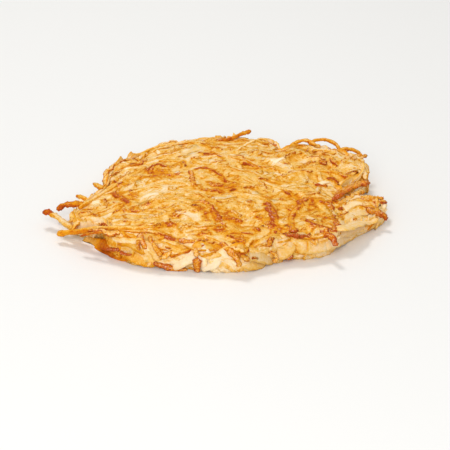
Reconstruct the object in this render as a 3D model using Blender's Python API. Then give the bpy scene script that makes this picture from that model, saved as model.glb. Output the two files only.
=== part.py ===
"""Hash browns: a griddled patty of shredded potato, as one closed solid.

Shreds of potato lie on and round a smaller core and are fused to it, as they are when they fry together.
Metres, +Z up. The patty rests on z = 0 with its middle over the origin, and its front faces -Y.
"""

import math
import random

import bmesh
import bpy
from mathutils import Vector, noise

# Driving dimensions: the patty without its stray shreds.
PATTY_WIDTH = 0.184
PATTY_DEPTH = 0.160
CREST_HEIGHT = 0.0205
EDGE_HEIGHT = 0.0155

# One shred, as a grater with 3 to 4 mm holes cuts it.
SHRED_WIDTH = 0.0036
SHRED_THICKNESS = 0.0026
SHRED_SEGMENT = 0.0090  # length between the bends of a shred
TAPER = 0.62  # width of a shred's end, as a share of its middle
STEEP = 0.3  # sine of the angle between a shred and the upright, under which it counts as steep
FLOOR_GAP = 0.0003  # the lowest that a shred reaches: only the core's flat underside touches the floor

# How the edge departs from a plain oval: bearing from +X in degrees, push outwards, spread in degrees.
LOBES = (
    (-6, 0.005, 11),  # tongue at the right
    (10, -0.021, 7),  # bay over the tongue
    (42, 0.014, 20),  # shoulder at the back right
    (64, -0.009, 5),  # bay behind the shoulder
    (86, 0.007, 28),  # back
    (126, 0.003, 18),  # back left
    (163, -0.012, 17),  # flat side at the back left
    (-60, -0.009, 19),  # flat side at the front right
    (-98, -0.004, 20),  # front
)
# Where the patty is thinner or thicker: x, y, change of height, radius of the place.
SWELLS = (
    (-0.084, -0.012, -0.0050, 0.026),  # thin tip at the left
    (0.082, -0.014, -0.0060, 0.024),  # thin tongue at the right
    (0.066, 0.056, 0.0030, 0.030),  # heaped shoulder
    (0.000, 0.070, 0.0028, 0.045),  # raised back
    (-0.030, -0.034, 0.0012, 0.028),  # hump over the front
)

# The core under the shreds.
CORE_DETAIL = 4  # subdivisions of the sphere that it is moulded from
CORE_INSET = 0.0035  # the core's edge stands this far inside the patty's
CORE_SINK = 0.0010  # and its top this far under the crust
CORE_BUMP = 0.0009
CORE_BUMP_PITCH = 0.011
SIDE_POWER = 5.0  # how square the side's section is: 2 is round
WAIST = 0.42  # height at which the side is fullest, as a share of the top's
FOOT = 1.35  # how soon the underside turns flat
RING_SPREAD = 1.6  # carries the sphere's rings towards the side, where the core bends most

# The shreds that are scattered by rule.
SEED = 20
CRUST_LAYERS = ((42, -0.0002), (28, 0.0012))  # how many shreds, and how far they lie above the crust
CRUST_REACH = 0.93  # how far out they start, as a share of the way to the edge
CRUST_LENGTHS = (0.028, 0.052)
CRUST_WIDTHS = (0.9, 1.25)  # as shares of a shred's width
CRUST_CURL = 40  # usual bend from end to end, in degrees
RIM_ALIGNMENT = 0.7  # how much the headings of those at the edge are held to run along it
DROOP = (0.97, 1.35)  # where shreds that reach past the edge start and end their fall, as shares of the way to it
ROLL = 0.2  # usual turn of a shred about its own line, in radians
SIDE_SHREDS = 32
SIDE_STAGGER = 3  # how far their places depart from even steps round the side, in degrees
SIDE_TUCK = 0.0028  # how far inside the edge their middle lines run
SIDE_HOLLOW = 0.0020  # and how much further at the top and the foot, where the side rounds off
SIDE_SPLAY = 0.005  # the most that one end stands out further than the other
SIDE_LENGTHS = (0.024, 0.040)
SIDE_WIDTHS = (1.0, 1.25)  # as shares of a shred's thickness: they stand on their narrow face
SIDE_SLANT = 0.004  # usual climb from end to end
SIDE_LEVELS = (0.0022, 0.0060, 0.0098, 0.0132)  # heights of the layers that show at the side

GOLDEN_ANGLE = 180 * (3 - math.sqrt(5))
FLAT_ANGLE = math.radians(0.5)  # faces that meet at less than this are one

# The shreds that stand out from the edge.
ROOT_REACH = 0.008  # how far their inner ends are led on into the core
ROOT_DEPTH = 0.0025  # and how far under the core's top
STRAY_ROLL = 0.1

# Their routes, which give the patty its outline: points along each, in millimetres.
STRAYS = {
    "left_tip": ((-109, -11, 9), (-103, -13, 10), (-98, -17, 8), (-91, -26, 7), (-80, -36, 9)),
    "left_arc": ((-101, -5, 9), (-97, -1, 11), (-91, -2, 12), (-84, -9, 13)),
    "left_stub": ((-90, 8, 11), (-85, -1, 12), (-77, -9, 13)),
    "left_back_stub": ((-81, 25, 13), (-77, 14, 14), (-70, 4, 15)),
    "left_long": ((-99, -30, 5), (-84, -38, 10), (-68, -48, 15), (-53, -55, 17), (-38, -58, 18)),
    "left_side_long": ((-85, -9, 12), (-75, 4, 14), (-62, 19, 16), (-48, 37, 18)),
    "back_left_rim": ((-64, 58, 13), (-54, 65, 15), (-43, 72, 17), (-31, 76, 18)),
    "back_tip": ((-8, 79, 18), (6, 82, 19), (19, 88, 20)),
    "back_curl": ((41, 68, 18), (45, 74, 19), (52, 76, 20), (58, 70, 19)),
    "loop": ((56, 71, 19), (61, 75, 21), (67, 73, 22), (71, 67, 20), (72, 60, 18)),
    "shoulder_arc": ((73, 62, 18), (80, 65, 20), (87, 62, 19), (91, 55, 16)),
    "shoulder_tip": ((74, 38, 19), (82, 44, 18), (89, 46, 15), (94, 40, 12)),
    "right_strip": ((58, -22, 18), (69, -11, 20), (79, 4, 19), (90, 21, 17)),
    "tongue_ridge": ((68, -6, 13), (79, 0, 13), (89, 1, 12), (99, 5, 11)),
    "tongue_tip": ((73, -21, 13), (83, -20, 12), (91, -19, 10), (98, -20, 8)),
    "front_hanger": ((-20, -68, 17), (-17, -77, 15), (-16, -80, 9), (-15, -79, 2)),
    "front_left_fork": ((-50, -58, 16), (-45, -67, 14), (-41, -72, 10), (-34, -74, 9)),
    "front_left_prong": ((-50, -58, 16), (-50, -67, 12), (-49, -71, 7)),
    "front_fork": ((-1, -66, 17), (5, -76, 14), (8, -79, 9), (12, -79, 4)),
    "front_twin": ((6, -62, 17), (11, -72, 14), (15, -77, 9)),
    "front_right_strip": ((32, -50, 17), (45, -58, 15), (54, -60, 13), (62, -58, 10)),
    "front_right_stub": ((47, -54, 13), (52, -60, 9), (54, -62, 5)),
    "tongue_side": ((52, -58, 5), (63, -55, 6), (74, -46, 6), (84, -36, 6)),
    "front_foot": ((-20, -73, 4), (-9, -77, 5), (1, -76, 6), (12, -73, 4)),
}


def clear_scene():
    for obj in list(bpy.data.objects):
        bpy.data.objects.remove(obj, do_unlink=True)


def blend(low, high, value):
    """0 up to low, 1 from high on, and a smooth rise between them."""
    share = min(1.0, max(0.0, (value - low) / (high - low)))
    return share * share * (3 - 2 * share)


def edge_radius(bearing):
    """Distance from the patty's middle to its edge, at a bearing in degrees."""
    half_width, half_depth = PATTY_WIDTH / 2, PATTY_DEPTH / 2
    across, along = math.cos(math.radians(bearing)), math.sin(math.radians(bearing))
    radius = half_width * half_depth / math.hypot(half_depth * across, half_width * along)
    for middle, push, spread in LOBES:
        away = (bearing - middle + 180) % 360 - 180
        radius += push * math.exp(-((away / spread) ** 2))
    return radius


def edge_share(x, y):
    """0 over the patty's middle and 1 over its edge."""
    return math.hypot(x, y) / edge_radius(math.degrees(math.atan2(y, x)))


def crust_height(x, y):
    """Height of the crust, as if it ran on past the edge."""
    crown = 1 - min(1.0, edge_share(x, y)) ** 2
    height = EDGE_HEIGHT + (CREST_HEIGHT - EDGE_HEIGHT) * crown
    for swell_x, swell_y, change, radius in SWELLS:
        height += change * math.exp(-((x - swell_x) ** 2 + (y - swell_y) ** 2) / radius**2)
    return height


def lying_height(x, y):
    """Height of a shred's middle line: on the crust, and drooping towards the floor past the edge."""
    droop = blend(*DROOP, edge_share(x, y))
    return crust_height(x, y) * (1 - droop) + SHRED_THICKNESS * droop


def make_core():
    """A sphere moulded to the patty: flat underneath, full at the sides, and a little bumpy."""
    shape = bmesh.new()
    bmesh.ops.create_icosphere(shape, subdivisions=CORE_DETAIL, radius=1)
    for vert in shape.verts:
        bearing = math.atan2(vert.co.y, vert.co.x)
        slope = math.asin(min(1.0, abs(vert.co.z))) / (math.pi / 2)  # 1 at the poles, 0 at the side
        reach = 1 - slope**RING_SPREAD
        radius = (edge_radius(math.degrees(bearing)) - CORE_INSET) * reach
        x, y = radius * math.cos(bearing), radius * math.sin(bearing)
        fullness = (1 - reach**SIDE_POWER) ** (1 / SIDE_POWER)
        bump = CORE_BUMP * noise.noise(Vector((x, y, 0)) / CORE_BUMP_PITCH)
        top = crust_height(x, y) - CORE_SINK + bump
        waist = WAIST * top
        rise = (top - waist) * fullness if vert.co.z > 0 else -waist * min(1.0, FOOT * fullness)
        vert.co = Vector((x, y, waist + rise))
    mesh = bpy.data.meshes.new("hash_browns")
    shape.to_mesh(mesh)
    shape.free()
    return bpy.data.objects.new("hash_browns", mesh)


def lying_route(x, y, heading, length, curl, lift):
    """Points along a shred whose middle is near x, y and which turns by curl degrees from end to end."""
    steps = max(3, round(length / SHRED_SEGMENT))
    angle = math.radians(heading - curl / 2)
    turn = math.radians(curl) / steps
    flat = [Vector((0, 0))]
    for _ in range(steps):
        flat.append(flat[-1] + Vector((math.cos(angle), math.sin(angle))) * length / steps)
        angle += turn
    shift = Vector((x, y)) - sum(flat, Vector((0, 0))) / len(flat)
    route = []
    for point in flat:
        px, py = point + shift
        route.append(Vector((px, py, lying_height(px, py) + lift)))
    return route


def side_route(bearing, level, length, slant, splay):
    """Points along a shred that is pressed into the side at one level, climbs by slant and has one end splayed out."""
    steps = max(3, round(length / SHRED_SEGMENT))
    reach = math.degrees(length / edge_radius(bearing))
    route = []
    for step in range(steps + 1):
        share = step / steps - 0.5
        turn = bearing + reach * share
        hollow = SIDE_HOLLOW * (2 * level / SIDE_LEVELS[-1] - 1) ** 2
        radius = edge_radius(turn) - SIDE_TUCK - hollow + SIDE_SPLAY * share * splay
        height = max(SHRED_THICKNESS / 2, level + slant * share)
        place = math.radians(turn)
        route.append(Vector((radius * math.cos(place), radius * math.sin(place), height)))
    return route


def shred_mesh(name, route, width, thickness, roll):
    """A flat-sided strip along a route, narrower at both ends."""
    shape = bmesh.new()
    rings = []
    across = Vector((1, 0, 0))
    for index, point in enumerate(route):
        before, after = route[max(0, index - 1)], route[min(len(route) - 1, index + 1)]
        along = (after - before).normalized()
        level = along.cross(Vector((0, 0, 1)))
        if level.length < STEEP:  # on a steep stretch it keeps the way that it faced before
            level = across - along * across.dot(along)
        across = level.normalized()
        upward = across.cross(along).normalized()
        turned = across * math.cos(roll) + upward * math.sin(roll)
        normal = upward * math.cos(roll) - across * math.sin(roll)
        share = TAPER if index in (0, len(route) - 1) else 1.0
        ring = []
        for side, face in ((-1, -1), (1, -1), (1, 1), (-1, 1)):
            offset = turned * side * width / 2 + normal * face * thickness / 2
            ring.append(shape.verts.new(point + offset * share))
        rings.append(ring)
    for ring, following in zip(rings, rings[1:]):
        for corner in range(4):
            other = (corner + 1) % 4
            shape.faces.new((ring[corner], ring[other], following[other], following[corner]))
    shape.faces.new(rings[0])
    shape.faces.new(rings[-1])
    bmesh.ops.recalc_face_normals(shape, faces=shape.faces)
    lift = FLOOR_GAP - min(vert.co.z for vert in shape.verts)
    if lift > 0:
        bmesh.ops.translate(shape, verts=shape.verts, vec=(0, 0, lift))
    mesh = bpy.data.meshes.new(name)
    shape.to_mesh(mesh)
    shape.free()
    return bpy.data.objects.new(name, mesh)


def crust_shreds(draw):
    """Layers of shreds, spread evenly over the top by the golden angle and crossing at any heading."""
    made = []
    for count, lift in CRUST_LAYERS:
        for index in range(count):
            bearing = index * GOLDEN_ANGLE
            share = CRUST_REACH * math.sqrt((index + 0.5) / count)
            radius = share * edge_radius(bearing)
            x = radius * math.cos(math.radians(bearing))
            y = radius * math.sin(math.radians(bearing))
            spread = 90 * (1 - RIM_ALIGNMENT * share**2)
            heading = bearing + 90 + draw.uniform(-spread, spread)
            route = lying_route(x, y, heading, draw.uniform(*CRUST_LENGTHS), draw.gauss(0, CRUST_CURL), lift)
            width = SHRED_WIDTH * draw.uniform(*CRUST_WIDTHS)
            made.append(shred_mesh(f"crust_{len(made)}", route, width, SHRED_THICKNESS, draw.gauss(0, ROLL)))
    return made


def side_shreds(draw):
    """Shreds in layers round the side, each a little out of line with the next."""
    made = []
    for index in range(SIDE_SHREDS):
        bearing = 360 * index / SIDE_SHREDS + draw.uniform(-SIDE_STAGGER, SIDE_STAGGER)
        level = SIDE_LEVELS[index * 3 % len(SIDE_LEVELS)]
        length = draw.uniform(*SIDE_LENGTHS)
        route = side_route(bearing, level, length, draw.gauss(0, SIDE_SLANT), draw.uniform(-1, 1))
        width = SHRED_THICKNESS * draw.uniform(*SIDE_WIDTHS)
        made.append(shred_mesh(f"side_{index}", route, width, SHRED_WIDTH, draw.gauss(0, ROLL)))
    return made


def rooted(route):
    """The route, led on from its inner end down into the core."""
    inner = min(route[0], route[-1], key=lambda point: edge_share(point.x, point.y))
    root = inner * (1 - ROOT_REACH / math.hypot(inner.x, inner.y))
    root.z = min(inner.z, crust_height(root.x, root.y) - CORE_SINK - ROOT_DEPTH)
    return [root] + route if inner == route[0] else route + [root]


def stray_shreds():
    """The named shreds that reach past the edge."""
    made = []
    for name, points in STRAYS.items():
        route = rooted([Vector(point) / 1000 for point in points])
        made.append(shred_mesh(name, route, SHRED_WIDTH, SHRED_THICKNESS, STRAY_ROLL))
    return made


def potato_material():
    material = bpy.data.materials.new("griddled_potato")
    material.use_nodes = True
    shader = material.node_tree.nodes["Principled BSDF"]
    shader.inputs["Base Color"].default_value = (0.78, 0.40, 0.10, 1)
    shader.inputs["Roughness"].default_value = 0.45
    shader.inputs["Metallic"].default_value = 0.0
    return material


def fuse(core, shreds):
    """Joins the shreds to the core with one union, and removes them."""
    group = bpy.data.collections.new("shreds")
    bpy.context.scene.collection.children.link(group)
    for shred in shreds:
        group.objects.link(shred)
    union = core.modifiers.new("union", "BOOLEAN")
    union.operation = "UNION"
    union.solver = "EXACT"
    union.operand_type = "COLLECTION"
    union.collection = group
    bpy.context.view_layer.update()
    graph = bpy.context.evaluated_depsgraph_get()
    joined = bpy.data.meshes.new_from_object(core.evaluated_get(graph))
    core.modifiers.clear()
    core.data = joined
    for shred in shreds:
        bpy.data.objects.remove(shred, do_unlink=True)
    bpy.data.collections.remove(group)


def keep_outer_skin(core):
    """Deletes every loose shell but the largest: hollows that the union sealed, and scraps."""
    shape = bmesh.new()
    shape.from_mesh(core.data)
    bmesh.ops.dissolve_limit(shape, angle_limit=FLAT_ANGLE, verts=shape.verts, edges=shape.edges)
    bmesh.ops.triangulate(shape, faces=shape.faces)
    shells, seen = [], set()
    for start in shape.faces:
        if start in seen:
            continue
        shell, waiting = [], [start]
        seen.add(start)
        while waiting:
            face = waiting.pop()
            shell.append(face)
            for edge in face.edges:
                neighbours = edge.link_faces if len(edge.link_faces) == 2 else ()
                for beside in neighbours:
                    if beside not in seen:
                        seen.add(beside)
                        waiting.append(beside)
        shells.append(shell)
    shells.sort(key=len)
    inner = [face for shell in shells[:-1] for face in shell]
    bmesh.ops.delete(shape, geom=inner, context="FACES")
    shape.to_mesh(core.data)
    shape.free()


def main():
    clear_scene()
    draw = random.Random(SEED)
    core = make_core()
    bpy.context.scene.collection.objects.link(core)
    fuse(core, crust_shreds(draw) + side_shreds(draw) + stray_shreds())
    keep_outer_skin(core)
    core.data.materials.clear()
    core.data.materials.append(potato_material())


main()
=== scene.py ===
"""Hash browns: the looks of a griddled patty of shredded potato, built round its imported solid.

Shreds are laid one by one on what lies there already: the golden mat of the crust, the browned ridges and
crisps on it, and the pale ones round the side. A skin of starch fuses them. Metres, +Z up, front to -Y.
"""

import math
from dataclasses import dataclass

import bmesh
import bpy
import numpy as np
from bpy.props import FloatProperty, FloatVectorProperty, IntProperty, PointerProperty
from mathutils import Matrix, Vector, noise


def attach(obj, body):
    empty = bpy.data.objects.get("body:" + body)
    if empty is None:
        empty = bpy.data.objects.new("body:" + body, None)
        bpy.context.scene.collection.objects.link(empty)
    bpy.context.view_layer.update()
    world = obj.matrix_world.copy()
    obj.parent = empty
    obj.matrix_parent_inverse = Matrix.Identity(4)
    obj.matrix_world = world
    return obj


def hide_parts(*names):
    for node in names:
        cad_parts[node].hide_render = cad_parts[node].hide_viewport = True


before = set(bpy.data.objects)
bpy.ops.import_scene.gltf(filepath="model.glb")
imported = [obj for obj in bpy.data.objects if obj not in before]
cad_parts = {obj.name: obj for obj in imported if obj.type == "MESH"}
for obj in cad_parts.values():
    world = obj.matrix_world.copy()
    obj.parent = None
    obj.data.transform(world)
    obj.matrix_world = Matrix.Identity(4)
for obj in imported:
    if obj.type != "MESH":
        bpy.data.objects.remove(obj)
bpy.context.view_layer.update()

bl_info = {
    "name": "Hash browns",
    "version": (1, 0, 0),
    "blender": (4, 5, 0),
    "location": "View3D > Sidebar > Hash browns",
    "description": "Builds a griddled patty of shredded potato, shred by shred",
    "category": "Add Mesh",
}

BODY = "root"
NODE = "hash_browns"
MM = 0.001

# How the edge departs from a plain oval: bearing from +X in degrees, push outwards, spread in degrees.
LOBES = (
    (-1, 0.0080, 9),  # tongue at the right
    (10.5, -0.023, 8),  # bay over the tongue
    (22, 0.005, 8),  # shoulder at the back right
    (42, 0.014, 20),
    (42.5, -0.006, 4.5),  # gap under the loop
    (61.5, -0.0170, 4.5),  # bay behind the shoulder
    (78, 0.008, 24),  # back
    (137, 0.0015, 12),  # back left
    (173, -0.005, 8),
    (163, -0.012, 17),  # flat side at the back left
    (-61, -0.0128, 18),  # flat side at the front right
    (-25, -0.0105, 13),  # and where it meets the tongue
    (-165, 0.006, 9),  # tip at the left
    (-155, -0.0100, 9),
    (-103, -0.0058, 22),  # front
)
# Where the patty is thinner or thicker: x, y, change of height, radius of the place.
SWELLS = (
    (-0.084, -0.012, -0.0050, 0.026),  # thin tip at the left
    (-0.094, -0.030, -0.0030, 0.018),  # and its end
    (0.082, -0.016, -0.0080, 0.024),  # thin tongue at the right
    (0.066, 0.056, 0.0030, 0.030),  # heaped shoulder
    (0.000, 0.070, 0.0028, 0.045),  # raised back
    (-0.030, -0.034, 0.0012, 0.028),  # hump over the front
)
# Unevenness of the crust: width of its lumps and how far they rise and sink.
LUMPS = ((0.021, 0.0011), (0.009, 0.0007))

# How a shred settles on the others.
FLOOR_GAP = 0.0001
SINK = 0.32  # share of its thickness that sinks into what it lies on
SQUASH = 0.0007  # depth over which the griddle presses the tops of the shreds level
PRESSED = 0.15  # share of that depth that is left once they are pressed
BEARERS = (-0.3, 0, 0.3)  # places across it that rest on the others, as shares of its width
ROUNDNESS = 1.8  # how far its back falls away towards its edges

# The camera, as it stands over the plate in the photograph.
PHOTO_SIDE = 450  # pixels
CAMERA_SENSOR = 36.0
CAMERA_LENS = 126.7
CAMERA_DISTANCE = 0.95
CAMERA_ELEVATION = math.radians(25)
CAMERA_AIM = Vector((0, -0.010, 0))


def linear(code):
    """An sRGB colour such as F4E3B0 as three linear values, by the sRGB formula."""
    shares = [int(code[place : place + 2], 16) / 255 for place in (0, 2, 4)]
    return tuple(share / 12.92 if share <= 0.04045 else ((share + 0.055) / 1.055) ** 2.4 for share in shares)


class PattySizes(bpy.types.PropertyGroup):
    """Sizes of the patty."""

    width: FloatProperty(name="Width", description="Without stray shreds", default=0.184, unit="LENGTH")
    depth: FloatProperty(name="Depth", description="From front to back", default=0.160, unit="LENGTH")
    crest: FloatProperty(name="Crest", description="Height of its middle", default=0.0205, unit="LENGTH")
    edge: FloatProperty(name="Edge", description="Height of its edge", default=0.0155, unit="LENGTH")
    seed: IntProperty(name="Seed", description="Changes how the scattered shreds fall", default=5, min=0)


class PattyCounts(bpy.types.PropertyGroup):
    """How many shreds of each sort."""

    side: IntProperty(name="Side shreds", description="Pale shreds of the side", default=460, min=1)
    drapes: IntProperty(name="Drapes", description="Shreds that hang over the edge", default=90, min=1)
    mat: IntProperty(name="Mat shreds", description="Golden shreds of the crust", default=330, min=1)
    ribbons: IntProperty(name="Ribbons", description="Broad shreds of the crust", default=110, min=1)
    crisps: IntProperty(name="Crisps", description="Thin browned shreds on top", default=110, min=1)
    under: IntProperty(name="Underside shreds", description="Shreds fried to the base", default=300, min=1)
    crumbs: IntProperty(name="Crumbs", description="Fried bits between the shreds", default=160, min=1)


class PattyColours(bpy.types.PropertyGroup):
    """Colours of the potato as it browns."""

    steamed: FloatVectorProperty(
        name="Steamed", description="Inside", subtype="COLOR", size=3, default=linear("FBE6BE")
    )
    pale: FloatVectorProperty(
        name="Pale", description="Barely fried", subtype="COLOR", size=3, default=linear("F6D7A8")
    )
    golden: FloatVectorProperty(
        name="Golden", description="Fried", subtype="COLOR", size=3, default=linear("F0BE62")
    )
    amber: FloatVectorProperty(
        name="Amber", description="Well fried", subtype="COLOR", size=3, default=linear("E29818")
    )
    brown: FloatVectorProperty(
        name="Brown", description="Crisp ridges", subtype="COLOR", size=3, default=linear("D47A10")
    )
    scorched: FloatVectorProperty(
        name="Scorched", description="Darkest ridges", subtype="COLOR", size=3, default=linear("B95010")
    )


# ---------------------------------------------------------------- the patty's form


def blend(low, high, value):
    """0 up to low, 1 from high on, and a smooth rise between them."""
    share = np.clip((value - low) / (high - low), 0, 1)
    return share * share * (3 - 2 * share)


NOISE_GAIN = 1.6  # brings the noise to about -1 to 1
# Each unevenness has a layer of noise of its own; the crust's lumps have the first ones.
SIDE_LAYER = 3
CRUST_WEB_LAYER = 5
SKIN_LAYER = 6
RIM_LAYER = 7
SIDE_WEB_LAYER = 8


def patches(x, y, pitch, layer):
    """Smooth noise of about -1 to 1 over the patty, its patches about pitch wide."""
    values = [noise.noise(Vector((a / pitch, b / pitch, layer))) for a, b in zip(np.ravel(x), np.ravel(y))]
    return NOISE_GAIN * np.array(values).reshape(np.shape(x))


def turn(bearing, middle):
    """Degrees from one bearing to another, the shorter way round."""
    return (bearing - middle + 180) % 360 - 180


class Field:
    """A value at each point of a grid, read smoothly between them. Its first axis may run round the patty."""

    PITCH = 0.0006
    LAST_CELL = 1.001  # keeps a place short of the grid's last row, so that it has a next one
    BLUR_PASSES = 3

    def __init__(self, low, high, fill, around=False):
        self.low, self.around = np.array(low), around
        counts = np.rint((np.array(high) - self.low) / self.PITCH).astype(int)
        self.steps = (np.array(high) - self.low) / counts
        axes = [start + step * np.arange(count) for start, step, count in zip(self.low, self.steps, counts)]
        self.x, self.y = np.meshgrid(*axes, indexing="ij")
        self.values = fill(self.x, self.y)

    def filled(self, values):
        """Another field of the same grid."""
        copy = object.__new__(Field)
        copy.__dict__.update(self.__dict__, values=values)
        return copy

    def cell(self, points):
        """Where points lie on the grid, counted in its steps."""
        place = (np.asarray(points)[..., :2] - self.low) / self.steps
        most = np.array(self.values.shape) - self.LAST_CELL
        first = place[..., 0]
        place[..., 0] = first % self.values.shape[0] if self.around else np.clip(first, 0, most[0])
        place[..., 1] = np.clip(place[..., 1], 0, most[1])
        return place

    def at(self, points):
        """The values at points."""
        place = self.cell(points)
        cell = place.astype(int)
        i, j = cell[..., 0] % self.values.shape[0], cell[..., 1]
        after = (i + 1) % self.values.shape[0]
        a, b = place[..., 0] - cell[..., 0], place[..., 1] - j
        near = (1 - b) * self.values[i, j] + b * self.values[i, j + 1]
        far = (1 - b) * self.values[after, j] + b * self.values[after, j + 1]
        return (1 - a) * near + a * far

    def nearest(self, points):
        """The grid's indices that are nearest to points."""
        cell = np.rint(self.cell(points)).astype(int)
        return cell[..., 0] % self.values.shape[0], np.minimum(cell[..., 1], self.values.shape[1] - 1)

    def neighbours(self, disc):
        """The values as seen from each step of a disc away, with the second axis ending at its edges."""
        reach = max(abs(step[1]) for step in disc)
        padded = np.pad(self.values, ((0, 0), (reach, reach)), mode="edge")
        for i, j in disc:
            yield np.roll(padded, (i, j), (0, 1))[:, reach : padded.shape[1] - reach]

    def blurred(self, radius):
        """A copy of the field, averaged over about radius."""
        reach = max(1, round(radius / self.PITCH / 2))
        copy = self
        for _ in range(self.BLUR_PASSES):
            for axis in (0, 1):
                line = [(step, 0) if axis == 0 else (0, step) for step in range(-reach, reach + 1)]
                copy = copy.filled(np.mean(list(copy.neighbours(line)), axis=0))
        return copy

    def closed(self, radius):
        """A copy of the field whose hollows narrower than twice the radius are filled level."""
        reach = round(radius / self.PITCH)
        span = range(-reach, reach + 1)
        disc = [(i, j) for i in span for j in span if math.hypot(i, j) <= reach + 0.5]
        widened = self.filled(np.maximum.reduce(list(self.neighbours(disc))))
        return self.filled(np.minimum.reduce(list(widened.neighbours(disc))))


class Bed:
    """What the shreds are laid on: its height, the ceiling over it, and how the uppermost shreds fried."""

    def __init__(self, low, high, start, ceiling, around=False):
        self.height = Field(low, high, start, around)
        self.ceiling = self.height.filled(ceiling(self.height.x, self.height.y))
        self.tone = self.height.filled(np.full_like(self.height.x, STUFFING_BROWNING))
        self.seam = self.height.filled(np.zeros_like(self.height.x))

    def stamp(self, points, heights, browning):
        """Raises the bed by a new shred, and notes its browning and its seams where it is uppermost."""
        i, j = self.height.nearest(points)
        upper = heights > self.height.values[i, j]
        np.maximum.at(self.height.values, (i, j), heights)
        seams = np.broadcast_to(np.abs(2 * STRIP), heights.shape)
        self.seam.values[i[upper], j[upper]] = seams[upper]
        self.tone.values[i[upper], j[upper]] = browning

    def fuse(self, layer, blur, seam):
        """Makes the skin of starch over the bed, and notes how deep the gaps were that it fills."""
        filled = self.height.closed(WEB_REACH).blurred(WEB_BLUR)
        sag = WEB_SAG * (1 + WEB_SWING * patches(filled.x, filled.y, WEB_PATCH, layer))
        hugging = self.height.blurred(blur).values - SKIN_SINK
        self.skin = self.height.filled(np.maximum(hugging, filled.values - sag))
        self.depth = self.height.filled(filled.values - self.height.values).blurred(WEB_BLUR)
        self.tone = self.tone.blurred(TONE_BLUR)
        self.seam_browning = seam

    def skin_browning(self, points):
        """How the skin fried: like the shreds under it, and browner along their seams; over deep gaps it is
        painted an amber browning, as painted shade.
        """
        # painted shade: pale is how far the skin lies over a deep gap, where it is drawn to an amber browning
        pale = blend(*GAP_SHADE_DEPTHS, self.depth.at(points))
        seams = self.seam_browning * blend(*SEAM_BAND, self.seam.at(points))
        fried = np.minimum(self.tone.at(points), SKIN_MOST) + seams * (1 - pale)
        fried = fried + GAP_SHADE_SHARE * pale * (GAP_SHADE_BROWNING - fried)
        return fried + SKIN_PATCH_BROWNING * patches(points[..., 0], points[..., 1], SKIN_PATCH, SKIN_LAYER)


WEB_REACH = 0.0024  # half the widest gap that the starch fills
WEB_SAG = 0.00035  # how far it sags between the shreds
WEB_SWING = 0.6  # how unevenly
WEB_PATCH = 0.012
WEB_BLUR = 0.0008  # how softly it follows the shreds' edges
TONE_BLUR = 0.0010  # how softly the skin's browning follows that of the shreds
SKIN_BLUR = 0.0009  # how softly the crust's skin follows their backs
SIDE_SKIN_BLUR = 0.0013
SKIN_SINK = 0.00004  # how far the tops of the shreds stand out of it
GAP_SHADE_DEPTHS = (0.0003, 0.0016)  # a gap this deep begins to take the painted shade, and takes it fully
GAP_SHADE_SHARE = 0.6  # how far the skin over a gap then goes to the browning of the painted shade
# the amber browning painted into deep gaps as their shade
GAP_SHADE_BROWNING = 0.50
SEAM_BAND = (0.5, 1.0)  # where a shred's seam begins and where it is full: 0 is its middle line, 1 its edge
SKIN_SEAM = 0.30  # how much browner the skin is along the seams of the shreds
SIDE_SKIN_SEAM = 0.14  # and on the side
SKIN_MOST = 0.62  # the skin between the ridges is never browner than this
SKIN_PATCH = 0.010  # width of its browner patches
SKIN_PATCH_BROWNING = 0.05  # and how much browner they are


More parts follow.
